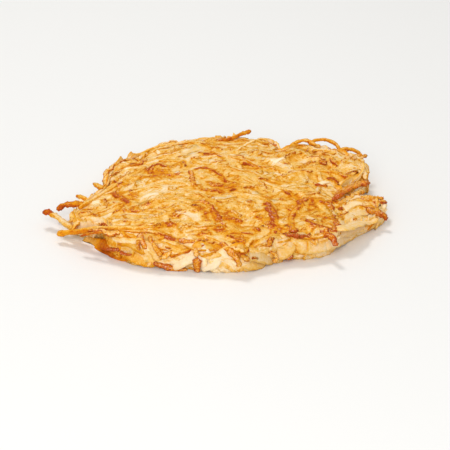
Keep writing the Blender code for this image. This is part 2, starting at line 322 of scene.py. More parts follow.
class Patty:
    """The patty's outline, and the beds of its crust and of its side."""

    CRUST_LOW = (-0.114, -0.088)
    CRUST_HIGH = (0.104, 0.094)

    def __init__(self, sizes):
        self.sizes = sizes
        self.draw = np.random.default_rng(sizes.seed)
        self.crust = Bed(self.CRUST_LOW, self.CRUST_HIGH, self.stuffing_height, self.crust_height)
        low, high = (-math.pi * SIDE_RADIUS, 0), (math.pi * SIDE_RADIUS, SIDE_HIGH)
        self.side = Bed(low, high, self.side_start, self.side_limit, around=True)
        self.mat_lines = []
        self.tones = [(*crust_point(self, *tone[:2]), tone[2], tone[3] * MM) for tone in CRUST_TONES]

    def edge_radius(self, bearing):
        """Distance from the middle to the edge, at a bearing in degrees."""
        half_width, half_depth = self.sizes.width / 2, self.sizes.depth / 2
        across, along = np.cos(np.radians(bearing)), np.sin(np.radians(bearing))
        radius = half_width * half_depth / np.hypot(half_depth * across, half_width * along)
        for middle, push, spread in LOBES:
            radius = radius + push * np.exp(-((turn(bearing, middle) / spread) ** 2))
        return radius

    def edge_share(self, x, y):
        """0 over the middle and 1 over the edge."""
        return np.hypot(x, y) / self.edge_radius(np.degrees(np.arctan2(y, x)))

    def smooth_height(self, x, y):
        """Height of the crust without its lumps."""
        crown = 1 - np.minimum(1, self.edge_share(x, y)) ** 2
        height = self.sizes.edge + (self.sizes.crest - self.sizes.edge) * crown
        for swell_x, swell_y, change, radius in SWELLS:
            height = height + change * np.exp(-((x - swell_x) ** 2 + (y - swell_y) ** 2) / radius**2)
        return height

    def crust_height(self, x, y):
        """Height to which the griddle presses the crust."""
        height = self.smooth_height(x, y)
        for layer, (pitch, rise) in enumerate(LUMPS):
            height = height + rise * patches(x, y, pitch, layer)
        return height

    def stuffing_height(self, x, y):
        """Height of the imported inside, which the visible shreds are laid on: it falls away at the edge."""
        full = self.smooth_height(x, y) - STUFFING_DEPTH
        return full * (1 - blend(*STUFFING_EDGE, self.edge_share(x, y)))

    def rim_height(self, bearing):
        """Height of the crust over the side, at a bearing in degrees."""
        radius = RIM_SHARE * self.edge_radius(bearing)
        angle = np.radians(bearing)
        return self.smooth_height(radius * np.cos(angle), radius * np.sin(angle))

    def side_start(self, along, height):
        """The bare wall, which the shreds of the side are laid on."""
        return np.zeros_like(along)

    def side_limit(self, along, height):
        """How far out the shreds of the side may pile."""
        return SIDE_PILE + SIDE_SWING * patches(along, height, SIDE_PATCH, SIDE_LAYER)

    def side_points(self, points):
        """Points of the side: how far along it, how high and how far out, turned into places."""
        bearing = points[..., 0] / SIDE_RADIUS
        level = points[..., 1] / self.rim_height(np.degrees(bearing))
        share = np.interp(level, SIDE_LEVELS, SIDE_SHARES)
        radius = share * self.edge_radius(np.degrees(bearing)) + points[..., 2]
        return np.stack((radius * np.cos(bearing), radius * np.sin(bearing), points[..., 1]), axis=-1)


STUFFING_DEPTH = 0.0050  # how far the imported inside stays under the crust
STUFFING_EDGE = (0.95, 0.99)  # where it falls to the floor, as shares of the way to the edge
STUFFING_BROWNING = 0.15
RIM_SHARE = 0.96  # where the rim's height is taken, as a share of the way to the edge
SIDE_RADIUS = 0.085  # turns a bearing into a distance along the side
SIDE_HIGH = 0.020
SIDE_PILE = 0.0030  # how far out its shreds may pile
SIDE_SWING = 0.0012  # and how much that varies
SIDE_PATCH = 0.010  # over this width
SIDE_LEVELS = (0.0, 0.2, 0.5, 0.8, 1.0)  # the side's section: heights as shares of the crust's
SIDE_SHARES = (0.925, 0.945, 0.955, 0.950, 0.930)  # and how far out it is there, as shares of the edge's

STATE = {}


def patty():
    """The patty in hand. The first operator starts it."""
    if "patty" not in STATE:
        raise RuntimeError("lay the crust mat first")
    return STATE["patty"]


# ---------------------------------------------------------------- shreds

LINE_POINTS = 61  # points of a shred's middle line while it is laid
STRIP = np.linspace(-0.5, 0.5, 11)  # places across a shred where it raises what lies there
SHADE_SPREAD = 0.04  # how much one shred is lighter or darker than another
WAVES = (0.8, 1.6)  # how many times a shred wavers from end to end
SCATTER = 3.0  # degrees that a scattered place is off its bearing, as a spread
RIM_PULL = 0.65  # how strongly a shred near the edge follows it
TINY = 1e-6


@dataclass
class Sort:
    """How one sort of shred varies: sizes in millimetres, and pairs from least to most.

    A shred whose line and width are read off the photograph has no lengths and widths here.
    """

    flatness: tuple  # its thickness over its width
    lengths: tuple = ()
    widths: tuple = ()
    curl: float = 45.0  # degrees that it turns from end to end, as a spread
    wave: float = 12.0  # degrees that it wavers
    lifts: tuple = (0.0, 0.0)  # above the crust
    bend: float = 10.0  # the tightest radius that it sags to under its own weight
    browning: float = 0.4  # its mean: 0 steamed to 1 scorched
    uneven: float = 0.1  # and its spread
    edge: float = 0.2  # how much more its thin edges brown
    tips: float = 0.1  # and its two ends
    roll: float = 0.2  # how far it is turned about its own line, in radians, as a spread
    twist: float = 0.3  # and how much more from end to end
    painted_shade: float = 0.0  # painted shade: how much darker it is painted where it lies in shadow


@dataclass
class Shred:
    """One shred: its middle line, its sizes, how it fried and how it is turned."""

    line: np.ndarray
    width: float
    thickness: float
    browning: float
    edge: float
    tips: float
    shade: float
    roll: float
    twist: float


def wandering(draw, x, y, heading, length, curl, wave):
    """A shred's middle line from above: it turns by curl degrees on its way and wavers by wave degrees."""
    along = np.linspace(-0.5, 0.5, LINE_POINTS)
    bends = curl * along + wave * np.sin(2 * np.pi * (draw.uniform(*WAVES) * along + draw.uniform()))
    angle = np.radians(heading + bends)
    steps = np.stack((np.cos(angle), np.sin(angle)), axis=1) * length / (LINE_POINTS - 1)
    points = np.cumsum(steps, axis=0)
    return points - points.mean(axis=0) + (x, y)


def kept_inside(form, points, limit):
    """The line, its points past limit (a share of the way to the edge) drawn back to it."""
    share = form.edge_share(points[:, 0], points[:, 1])
    return points * np.minimum(1, limit / np.maximum(share, TINY))[:, None]


def lay(bed, points, width, thickness, browning, lift=0.0, bend=0.010):
    """Lowers a line on to what lies there and adds it to the bed; returns its points with their heights.

    The shred bridges hollows in soft arches, is pressed level with the crust and sinks in a little.
    """
    steps = np.gradient(points, axis=0)
    across = np.stack((-steps[:, 1], steps[:, 0]), axis=1) / np.linalg.norm(steps, axis=1)[:, None]
    support = np.max([bed.height.at(points + across * width * side) for side in BEARERS], axis=0)
    length = np.concatenate(((0,), np.cumsum(np.linalg.norm(np.diff(points, axis=0), axis=1))))
    fall = (length[:, None] - length[None, :]) ** 2 / (2 * bend)
    middle = (support[None, :] - fall).max(axis=1) + thickness * (0.5 - SINK)
    top = bed.ceiling.at(points) - thickness / 2 + lift
    over = middle - top
    middle = top + np.where(over > 0, PRESSED * SQUASH * np.tanh(over / SQUASH), over)
    middle = np.maximum(middle, thickness / 2 + FLOOR_GAP)
    profile = thickness / 2 * np.sqrt(1 - (ROUNDNESS * STRIP) ** 2)
    strip = points[:, None, :] + across[:, None, :] * (STRIP * width)[None, :, None]
    bed.stamp(strip, middle[:, None] + profile[None, :], browning)
    return np.column_stack((points, middle))


def girth(draw, sort):
    """The width and the thickness of one shred of a sort."""
    width = draw.uniform(*sort.widths) * MM
    return width, width * draw.uniform(*sort.flatness)


def tone(draw, sort):
    """How brown one shred of a sort is."""
    return sort.browning + draw.normal(0, sort.uneven)


def sprawl(draw, sort, x, y, heading):
    """The middle line of one shred of a sort, from above."""
    length = draw.uniform(*sort.lengths) * MM
    return wandering(draw, x, y, heading, length, draw.normal(0, sort.curl), sort.wave)


def laid(draw, sort, bed, line, width, thickness, browning):
    """A line laid on a bed as the sort lies."""
    return lay(bed, line, width, thickness, browning, draw.uniform(*sort.lifts) * MM, sort.bend * MM)


def vary(form, sort, x, y, heading, limit=1.0):
    """A shred of one sort, laid with its middle at a place and kept inside a limit, a share of the edge's."""
    draw = form.draw
    width, thickness = girth(draw, sort)
    browning = tone(draw, sort)
    line = kept_inside(form, sprawl(draw, sort, x, y, heading), limit)
    line = laid(draw, sort, form.crust, line, width, thickness, browning)
    return finished(draw, sort, line, width, thickness, browning)


def finished(draw, sort, line, width, thickness, browning):
    """The shred of one sort that a laid line makes."""
    shade, roll, twist = (draw.normal(0, spread) for spread in (SHADE_SPREAD, sort.roll, sort.twist))
    # its shade is its own random tone, less the painted shade of its sort
    return Shred(line, width, thickness, browning, sort.edge, sort.tips, shade - sort.painted_shade, roll, twist)


def polar(radius, bearing):
    """The x and y of a place at a distance from the middle, its bearing in degrees."""
    return radius * math.cos(math.radians(bearing)), radius * math.sin(math.radians(bearing))


def scattered(form, count, reach):
    """Places spread evenly over the patty by the golden angle, as bearing in degrees, share, x and y."""
    golden = 180 * (3 - math.sqrt(5))
    for index in form.draw.permutation(count):
        bearing = index * golden + form.draw.normal(0, SCATTER)
        share = reach * math.sqrt((index + 0.5) / count)
        yield bearing, share, *polar(share * form.edge_radius(bearing), bearing)


def rim_heading(form, bearing, share, pull=RIM_PULL):
    """A heading that is any way in the middle and mostly along the edge near it."""
    spread = 90 * (1 - pull * share**3)
    return bearing + 90 + form.draw.uniform(-spread, spread)


END_GAP = 1e-9  # keeps the last point in the last span


def smooth_route(points):
    """A smooth line through a few points, by the formula of the Catmull-Rom spline."""
    points = np.asarray(points, float)
    padded = np.vstack((2 * points[0] - points[1], points, 2 * points[-1] - points[-2]))
    place = np.linspace(0, len(points) - 1 - END_GAP, LINE_POINTS)
    index = place.astype(int)
    share = (place - index)[:, None]
    before, start, end, after = (padded[index + step] for step in range(4))
    return 0.5 * (
        2 * start
        + (end - before) * share
        + (2 * before - 5 * start + 4 * end - after) * share**2
        + (3 * start - before - 3 * end + after) * share**3
    )


# ---------------------------------------------------------------- meshes


def new_object(name, mesh):
    """An object of the scene that shows a mesh, a light or a camera."""
    obj = bpy.data.objects.new(name, mesh)
    bpy.context.scene.collection.objects.link(obj)
    return obj


def mesh_of(name, shape):
    """The mesh of a finished bmesh."""
    mesh = bpy.data.meshes.new(name)
    shape.to_mesh(mesh)
    shape.free()
    return mesh


def tube(radius, sides, cuts, caps):
    """An upright tube one unit high, with rings cut into it."""
    shape = bmesh.new()
    bmesh.ops.create_cone(shape, cap_ends=caps, radius1=radius, radius2=radius, depth=1, segments=sides)
    upright = [edge for edge in shape.edges if abs(edge.verts[0].co.z - edge.verts[1].co.z) > 0.5]
    bmesh.ops.subdivide_edges(shape, edges=upright, cuts=cuts, use_grid_fill=True)
    return shape


FROM_Z_TO_X = Matrix(((0, 0, 1), (1, 0, 0), (0, 1, 0)))


def straight_shred(rings, sides):
    """A straight shred along X from 0 to 1, one unit across, its ends capped."""
    shape = tube(0.5, sides, rings - 2, caps=True)
    bmesh.ops.rotate(shape, verts=shape.verts, matrix=FROM_Z_TO_X)
    bmesh.ops.translate(shape, verts=shape.verts, vec=(0.5, 0, 0))
    bmesh.ops.recalc_face_normals(shape, faces=shape.faces)
    return mesh_of("straight_shred", shape)


def array_of(mesh, name, count):
    """One mesh with many copies of another, all in one place and in order."""
    obj = new_object(name, mesh)
    array = obj.modifiers.new("copies", "ARRAY")
    array.count = count
    array.use_relative_offset = False
    array.use_constant_offset = True
    array.constant_offset_displace = (0, 0, 0)
    bpy.context.view_layer.update()
    copies = bpy.data.meshes.new_from_object(obj.evaluated_get(bpy.context.evaluated_depsgraph_get()))
    obj.modifiers.clear()
    obj.data = copies
    copies.name = name
    bpy.data.meshes.remove(mesh)
    return obj


def coordinates(mesh):
    """The places of a mesh's vertices."""
    values = np.empty(len(mesh.vertices) * 3, np.float32)
    mesh.vertices.foreach_get("co", values)
    return values.reshape(-1, 3).astype(float)


def dress(mesh, points, attributes, material):
    """Moves a mesh's vertices to points, and gives it attributes and a material."""
    mesh.vertices.foreach_set("co", points.astype(np.float32).ravel())
    for name, values in attributes.items():
        attribute = mesh.attributes.new(name, "FLOAT", "POINT")
        attribute.data.foreach_set("value", np.ascontiguousarray(values, np.float32).ravel())
    mesh.update()
    mesh.shade_smooth()
    mesh.materials.append(potato(material))


def finish_piece(piece):
    """Makes a piece part of the object: it rides on the patty's one body."""
    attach(piece, BODY)
    return piece


def between(line, place):
    """The points of a line at places that are counted in its own points."""
    return np.stack([np.interp(place, range(len(line)), values) for values in line.T], axis=1)


SHORTEST = 1e-9  # keeps a vector without length from a division by zero


def unit(vectors):
    """The vectors brought to a length of one."""
    return vectors / np.maximum(np.linalg.norm(vectors, axis=-1, keepdims=True), SHORTEST)


def crust_tone(form, x, y):
    """How much browner or paler the crust is at a place than elsewhere."""
    changes = (
        change * np.exp(-((x - tone_x) ** 2 + (y - tone_y) ** 2) / radius**2)
        for tone_x, tone_y, change, radius in form.tones
    )
    return sum(changes)


CREVICE_DEPTHS = (-0.0015, 0.0001)  # from this depth under the griddle a shred touches it a little, and from this height fully; the painted shade is deepest at the first


def out_of_crevice_share(form, points):
    """1 where a point touched the griddle, and 0 from a millimetre and a half under it, down in the crevices:
    the mask of the painted shade.
    """
    return blend(*CREVICE_DEPTHS, points[..., 2] - form.crust.ceiling.at(points))


BEAD = 0.0018  # length of the bumps along a shred
BEADS = 80


def bumps(draw, length, share):
    """Noise along each shred, smooth over the length of a bead."""
    places = share * length / BEAD
    return np.stack([np.interp(place, range(BEADS), draw.normal(size=BEADS)) for place in places])


DEPTH_SHADE_TONE = -0.10  # painted shade: a shred is browner where it lies down in the crevices, and a little paler at its top
STEEP = 0.25  # a shred steeper than this takes its level direction from its whole length
END_ROUNDING = 0.45  # how far from its end a shred is rounded, in widths
END_LEAST = 0.3  # how wide its very end is
TAPER = 0.3  # how much slimmer it is near its ends
TAPER_POWER = 3
WIDTH_SWING = 1.3  # how much more its width varies than its thickness
WIDTH_RANGE = (0.6, 1.4)
THICKNESS_RANGE = (0.7, 1.3)
GRAIN = 0.3  # how rough its surface is, as a share of how ragged it is
TIP_POWER = 4  # how close to its ends its tips brown


def shred_axes(middle, facing):
    """Unit vectors across each shred and upward from it, at each ring of its middle line."""
    along = unit(np.gradient(middle, axis=1))
    level = np.cross((0, 0, 1) if facing is None else facing(middle), along)
    steep = np.linalg.norm(level, axis=2, keepdims=True) < STEEP
    whole = unit(level.sum(axis=1, keepdims=True)) + np.zeros_like(level)
    across = unit(np.where(steep, whole - along * (whole * along).sum(axis=2, keepdims=True), level))
    return across, np.cross(along, across)


def mesh_shreds(
    name,
    form,
    shreds,
    material,
    rings=12,
    sides=6,
    depth_shade=DEPTH_SHADE_TONE,
    ragged=0.18,
    frill=0.0,
    facing=None,
):
    """One piece of all the shreds, each a bent copy of a straight one, with how it fried as attributes.

    Rings and sides are its divisions, contact is the painted shade of its crevices, how much browner its
    lower parts are, ragged and frill say how uneven it is, and facing gives the direction of its back, which
    is up unless it hangs on the side.
    """
    draw = form.draw
    straight = straight_shred(rings, sides)
    pattern = coordinates(straight)
    piece = array_of(straight, name, len(shreds))
    ring = np.rint(pattern[:, 0] * (rings - 1)).astype(int)
    even = np.linspace(0, 1, rings)
    share = (even + 0.5 - 0.5 * np.cos(np.pi * even)) / 2
    place = share * (LINE_POINTS - 1)
    lines = np.array([shred.line for shred in shreds])
    middle = np.stack([between(line, place) for line in lines])
    width, thickness, browning, edge, tips, shade, roll, twist = (
        np.array([getattr(shred, key) for shred in shreds])[:, None]
        for key in ("width", "thickness", "browning", "edge", "tips", "shade", "roll", "twist")
    )
    length = np.linalg.norm(np.diff(lines, axis=1), axis=2).sum(axis=1)[:, None]
    across, upward = shred_axes(middle, facing)
    angle = (roll + twist * (share[None, :] - 0.5))[..., None]
    cos, sin = np.cos(angle), np.sin(angle)
    across, upward = across * cos + upward * sin, upward * cos - across * sin
    from_end = np.minimum(share, 1 - share)[None, :] * length / (END_ROUNDING * width)
    round_end = np.clip(np.sqrt(1 - (1 - np.minimum(1, from_end)) ** 2), END_LEAST, 1)
    slim = 1 - TAPER * np.abs(2 * share[None, :] - 1) ** TAPER_POWER
    swing = np.clip(1 + WIDTH_SWING * ragged * bumps(draw, length, share), *WIDTH_RANGE)
    ring_width = width * round_end * slim * swing
    swing = np.clip(1 + ragged * bumps(draw, length, share), *THICKNESS_RANGE)
    ring_thickness = thickness * round_end * swing
    offset_across = (pattern[None, :, 1] * ring_width[:, ring])[..., None] * across[:, ring]
    offset_upward = (pattern[None, :, 2] * ring_thickness[:, ring])[..., None] * upward[:, ring]
    waver = (frill * width * bumps(draw, length, share))[..., None] * across
    points = (middle + waver)[:, ring] + offset_across + offset_upward
    points += draw.normal(size=points.shape) * (GRAIN * ragged * thickness)[..., None]
    points[..., 2] = np.maximum(points[..., 2], FLOOR_GAP)
    fried = browning + tips * np.abs(2 * share[ring][None, :] - 1) ** TIP_POWER
    # painted shade: browner down in the crevices, paler at the top
    fried = fried + depth_shade * (out_of_crevice_share(form, points) - 0.5) + region_browning(form, points)
    everywhere = np.zeros(points.shape[:2])
    looks = {
        "browning": fried,
        "across": 2 * np.abs(pattern[None, :, 1]) + everywhere,
        "edge": edge + everywhere,
        "shade": shade + everywhere,
    }
    dress(piece.data, points, looks, material)
    return finish_piece(piece)


# Where the crust is browner or paler than the rest, read off the photograph: across and down in pixels,
# change of browning, radius of the place in millimetres.
CRUST_TONES = (
    (165, 191, -0.12, 11),  # pale left middle
    (190, 216, -0.10, 7),  # cream window in front of it
    (146, 197, -0.14, 6),
    (172, 149, -0.12, 8),
    (190, 160, -0.09, 16),
    (106, 180, -0.10, 8),
    (325, 148, -0.10, 10),
    (186, 198, -0.08, 7),
    (88, 200, -0.12, 9),
    (84, 221, 0.10, 7),
    (230, 229, 0.14, 10),
    (304, 210, 0.08, 8),
    (250, 154, 0.04, 9),
    (286, 196, 0.10, 7),
    (203, 234, 0.10, 6),
    (225, 218, 0.10, 5),
    (197, 211, 0.08, 4),
    (212, 194, 0.10, 8),
    (277, 160, -0.26, 5),  # painted glint behind the middle: painted paler where light glints
    (352, 216, -0.14, 15),  # smooth flank of the tongue
    (302, 224, -0.16, 5),
    (322, 183, -0.22, 6),
    (348, 168, -0.14, 10),  # shoulder
    (290, 246, -0.14, 8),
    (273, 215, 0.06, 9),  # scorched rings at the right of the front
    (300, 234, 0.05, 9),
    (326, 229, 0.05, 8),
    (320, 203, 0.08, 9),
    (296, 206, 0.12, 18),
    (228, 184, 0.14, 7),
    (353, 192, -0.12, 9),  # root of the tongue
    (380, 207, -0.10, 7),  # end of the tongue
    (341, 231, -0.10, 7),
    (170, 240, 0.14, 8),
    (150, 172, 0.10, 7),
    (128, 200, 0.12, 9),
    (215, 210, 0.10, 10),
    (245, 242, 0.14, 10),
    (86, 229, 0.10, 10),
)
# The same for the side: bearing from +X in degrees, change of browning, spread in degrees.
SIDE_TONES = (
    (-143, 0.36, 10),  # browner foot at the left of the front
    (-120, 0.10, 7),
    (-97, -0.18, 12),  # steamed folds in front
    (-58, 0.14, 6),
    (-36, -0.12, 14),  # steamed flank under the tongue
    (-161, -0.16, 7),  # painted light: the underside of the tip at the left is painted paler against its shade
)
FRY = 0.09  # how much browner the whole patty is
SIDE_HEIGHTS = (0.55, 0.90)  # where the side ends and the crust begins, as shares of the crust's height


def region_browning(form, points):
    """How much browner or paler the patty is at each point than elsewhere."""
    x, y, z = (points[..., axis] for axis in range(3))
    crust = crust_tone(form, x, y)
    bearing = np.degrees(np.arctan2(y, x))[..., None]
    middles, changes, spreads = np.array(SIDE_TONES).T
    side = np.exp(-((turn(bearing, middles) / spreads) ** 2)) @ changes
    return FRY + side + blend(*SIDE_HEIGHTS, z / form.smooth_height(x, y)) * (crust - side)


# ---------------------------------------------------------------- materials


def add_node(material, kind, output, inputs=None, **settings):
    """Adds a shader node and gives its output; each input is a value or another node's output."""
    node = material.node_tree.nodes.new(kind)
    for name, value in settings.items():
        setattr(node, name, value)
    for name, value in (inputs or {}).items():
        if isinstance(value, bpy.types.NodeSocket):
            material.node_tree.links.new(value, node.inputs[name])
        else:
            node.inputs[name].default_value = value
    return node.outputs[output]


RAMP_PLACES = (0.0, 0.22, 0.45, 0.66, 0.84, 1.0)  # the browning at which each colour is full
MOTTLE = 0.80  # how far the browning swings over a few millimetres
FRECKLE = 0.60  # and over less than one
FRAY = 0.6  # how ragged the brown edges of the shreds are
SEAM_PLACES = (0.78, 1.12)  # where an edge begins to brown and where it is fully brown
FROST_AND_GLINT = linear("F5C296")  # pale specks on the browned ridges: partly dry starch, partly painted glints
FROST_AND_GLINT_PLACES = (0.52, 0.66)  # in its specks, where it begins and where it is full
DRYNESS = 0.30  # how much the roughness varies over a freckle
WRINKLE_DEPTH = 0.5 * MM
MOTTLE_NOISE = {"Scale": 1 / (3.5 * MM), "Detail": 3.0, "Roughness": 0.6}
FRECKLE_NOISE = {"Scale": 1 / (0.9 * MM), "Detail": 3.0, "Roughness": 0.65}
SPECK_NOISE = {"Scale": 1 / (1.1 * MM), "Detail": 1.0}
BLISTER_NOISE = {"Scale": 1 / (1.3 * MM)}
# A thin coat of oil over a dull body that light sinks into.
OILED = {
    "IOR": 1.45,
    "Specular IOR Level": 0.0,
    "Subsurface Radius": (0.8, 0.8, 0.4),
    "Subsurface Scale": 0.9 * MM,
    "Coat Roughness": 0.15,
    "Coat IOR": 1.47,
}
# The states of the potato that the patty has.
POTATO = {
    # shreds that the griddle pressed: gold with amber mottles, wrinkled, an oily glint here and there
    "fried_potato": {"shine": 0.18, "roughness": 0.45, "wrinkle": 1.0, "glow": 0.15},
    # thin crisp ones: strong brown freckles, pale specks on their backs that are partly dry starch and partly
    # painted glints, and the brightest glints of oil
    "crisp_potato": {
        "shine": 0.3, "roughness": 0.40, "wrinkle": 1.0, "glow": 0.1, "freckles": 1.3, "frost_and_glint": 0.7
    },
    # shreds that only steamed: pale, smooth and evenly coloured
    "steamed_potato": {
        "shine": 0.10, "roughness": 0.5, "wrinkle": 0.4, "glow": 0.2, "mottles": 0.5, "freckles": 0.4
    },
    # the starch between them: coloured as they are, a little duller
    "fused_starch": {"shine": 0.14, "roughness": 0.45, "wrinkle": 0.9, "glow": 0.15},
}


def potato(name):
    """One of the states of the potato, as a material that is made once."""
    return bpy.data.materials.get(name) or fry(name, **POTATO[name])


def fry(name, shine, roughness, wrinkle, glow, mottles=MOTTLE, freckles=FRECKLE, frost_and_glint=0.0):
    """Potato whose colour follows its browning, with oil on it.

    The eye sees a cream that turns gold, amber and brown where it touched the griddle, mottled over a few
    millimetres and freckled over less than one, with thin edges that are browner and glints on wrinkled skin.
    """
    colours = bpy.context.scene.patty_colours
    material = bpy.data.materials.new(name)
    material.use_nodes = True
    shader = material.node_tree.nodes["Principled BSDF"]
    place = add_node(material, "ShaderNodeTexCoord", "Object")
    browning, shade, across, edge = (
        add_node(material, "ShaderNodeAttribute", "Fac", attribute_name=key)
        for key in ("browning", "shade", "across", "edge")
    )
    mottle, freckle, speck = (
        add_node(material, "ShaderNodeTexNoise", "Fac", {"Vector": place, **pattern})
        for pattern in (MOTTLE_NOISE, FRECKLE_NOISE, SPECK_NOISE)
    )
    # browning, more at the frayed edges, mottled and freckled
    frayed = add_node(
        material, "ShaderNodeMath", "Value", {0: freckle, 1: FRAY, 2: across}, operation="MULTIPLY_ADD"
    )
    seam = add_node(
        material,
        "ShaderNodeMapRange",
        "Result",
        {"Value": frayed, "From Min": SEAM_PLACES[0], "From Max": SEAM_PLACES[1]},
        interpolation_type="SMOOTHSTEP",
    )
    fried = add_node(
        material, "ShaderNodeMath", "Value", {0: seam, 1: edge, 2: browning}, operation="MULTIPLY_ADD"
    )
    for source, swing in ((mottle, mottles), (freckle, freckles)):
        centred = add_node(material, "ShaderNodeMath", "Value", {0: source, 1: 0.5}, operation="SUBTRACT")
        fried = add_node(
            material, "ShaderNodeMath", "Value", {0: centred, 1: swing, 2: fried}, operation="MULTIPLY_ADD"
        )
    ramp = add_node(material, "ShaderNodeValToRGB", "Color", {"Fac": fried})
    stops = ramp.node.color_ramp.elements
    while len(stops) < len(RAMP_PLACES):
        stops.new(0.5)
    named = (colours.steamed, colours.pale, colours.golden, colours.amber, colours.brown, colours.scorched)
    for stop, spot in zip(stops, RAMP_PLACES):
        stop.position = spot
    for stop, colour in zip(stops, named):
        stop.color = (*colour, 1)
    # pale specks along its middle: partly dry starch, partly painted glints
    frost_and_glint_mask = add_node(
        material,
        "ShaderNodeMapRange",
        "Result",
        {"Value": speck, "From Min": FROST_AND_GLINT_PLACES[0], "From Max": FROST_AND_GLINT_PLACES[1], "To Max": frost_and_glint},
        interpolation_type="SMOOTHSTEP",
    )
    inner = add_node(material, "ShaderNodeMath", "Value", {0: 1.0, 1: across}, operation="SUBTRACT")
    frost_and_glint_mask = add_node(material, "ShaderNodeMath", "Value", {0: frost_and_glint_mask, 1: inner}, operation="MULTIPLY")
    coloured = add_node(
        material, "ShaderNodeMixRGB", "Color", {"Fac": frost_and_glint_mask, "Color1": ramp, "Color2": (*FROST_AND_GLINT, 1)}
    )
    # each shred's own tone, and the painted shade of the side folds, lighten or darken its colour
    value = add_node(material, "ShaderNodeMath", "Value", {0: shade, 1: 1.0}, operation="ADD")
    tinted = add_node(material, "ShaderNodeHueSaturation", "Color", {"Color": coloured, "Value": value})
    # roughness that varies with the freckles, and blistered skin
    dryness = add_node(
        material,
        "ShaderNodeMath",
        "Value",
        {0: freckle, 1: DRYNESS, 2: roughness - DRYNESS / 2},
        operation="MULTIPLY_ADD",
    )
    blister = add_node(
        material, "ShaderNodeTexVoronoi", "Distance", {"Vector": place, **BLISTER_NOISE}, feature="SMOOTH_F1"
    )
    relief = add_node(material, "ShaderNodeMath", "Value", {0: blister, 1: freckle}, operation="ADD")
    bump = add_node(
        material,
        "ShaderNodeBump",
        "Normal",
        {"Height": relief, "Strength": wrinkle, "Distance": WRINKLE_DEPTH},
    )
    for source, target in ((tinted, "Base Color"), (dryness, "Roughness"), (bump, "Normal")):
        material.node_tree.links.new(source, shader.inputs[target])
    for target, amount in {**OILED, "Subsurface Weight": glow, "Coat Weight": shine}.items():
        shader.inputs[target].default_value = amount
    return material


# ---------------------------------------------------------------- what the photograph shows, shred by shred

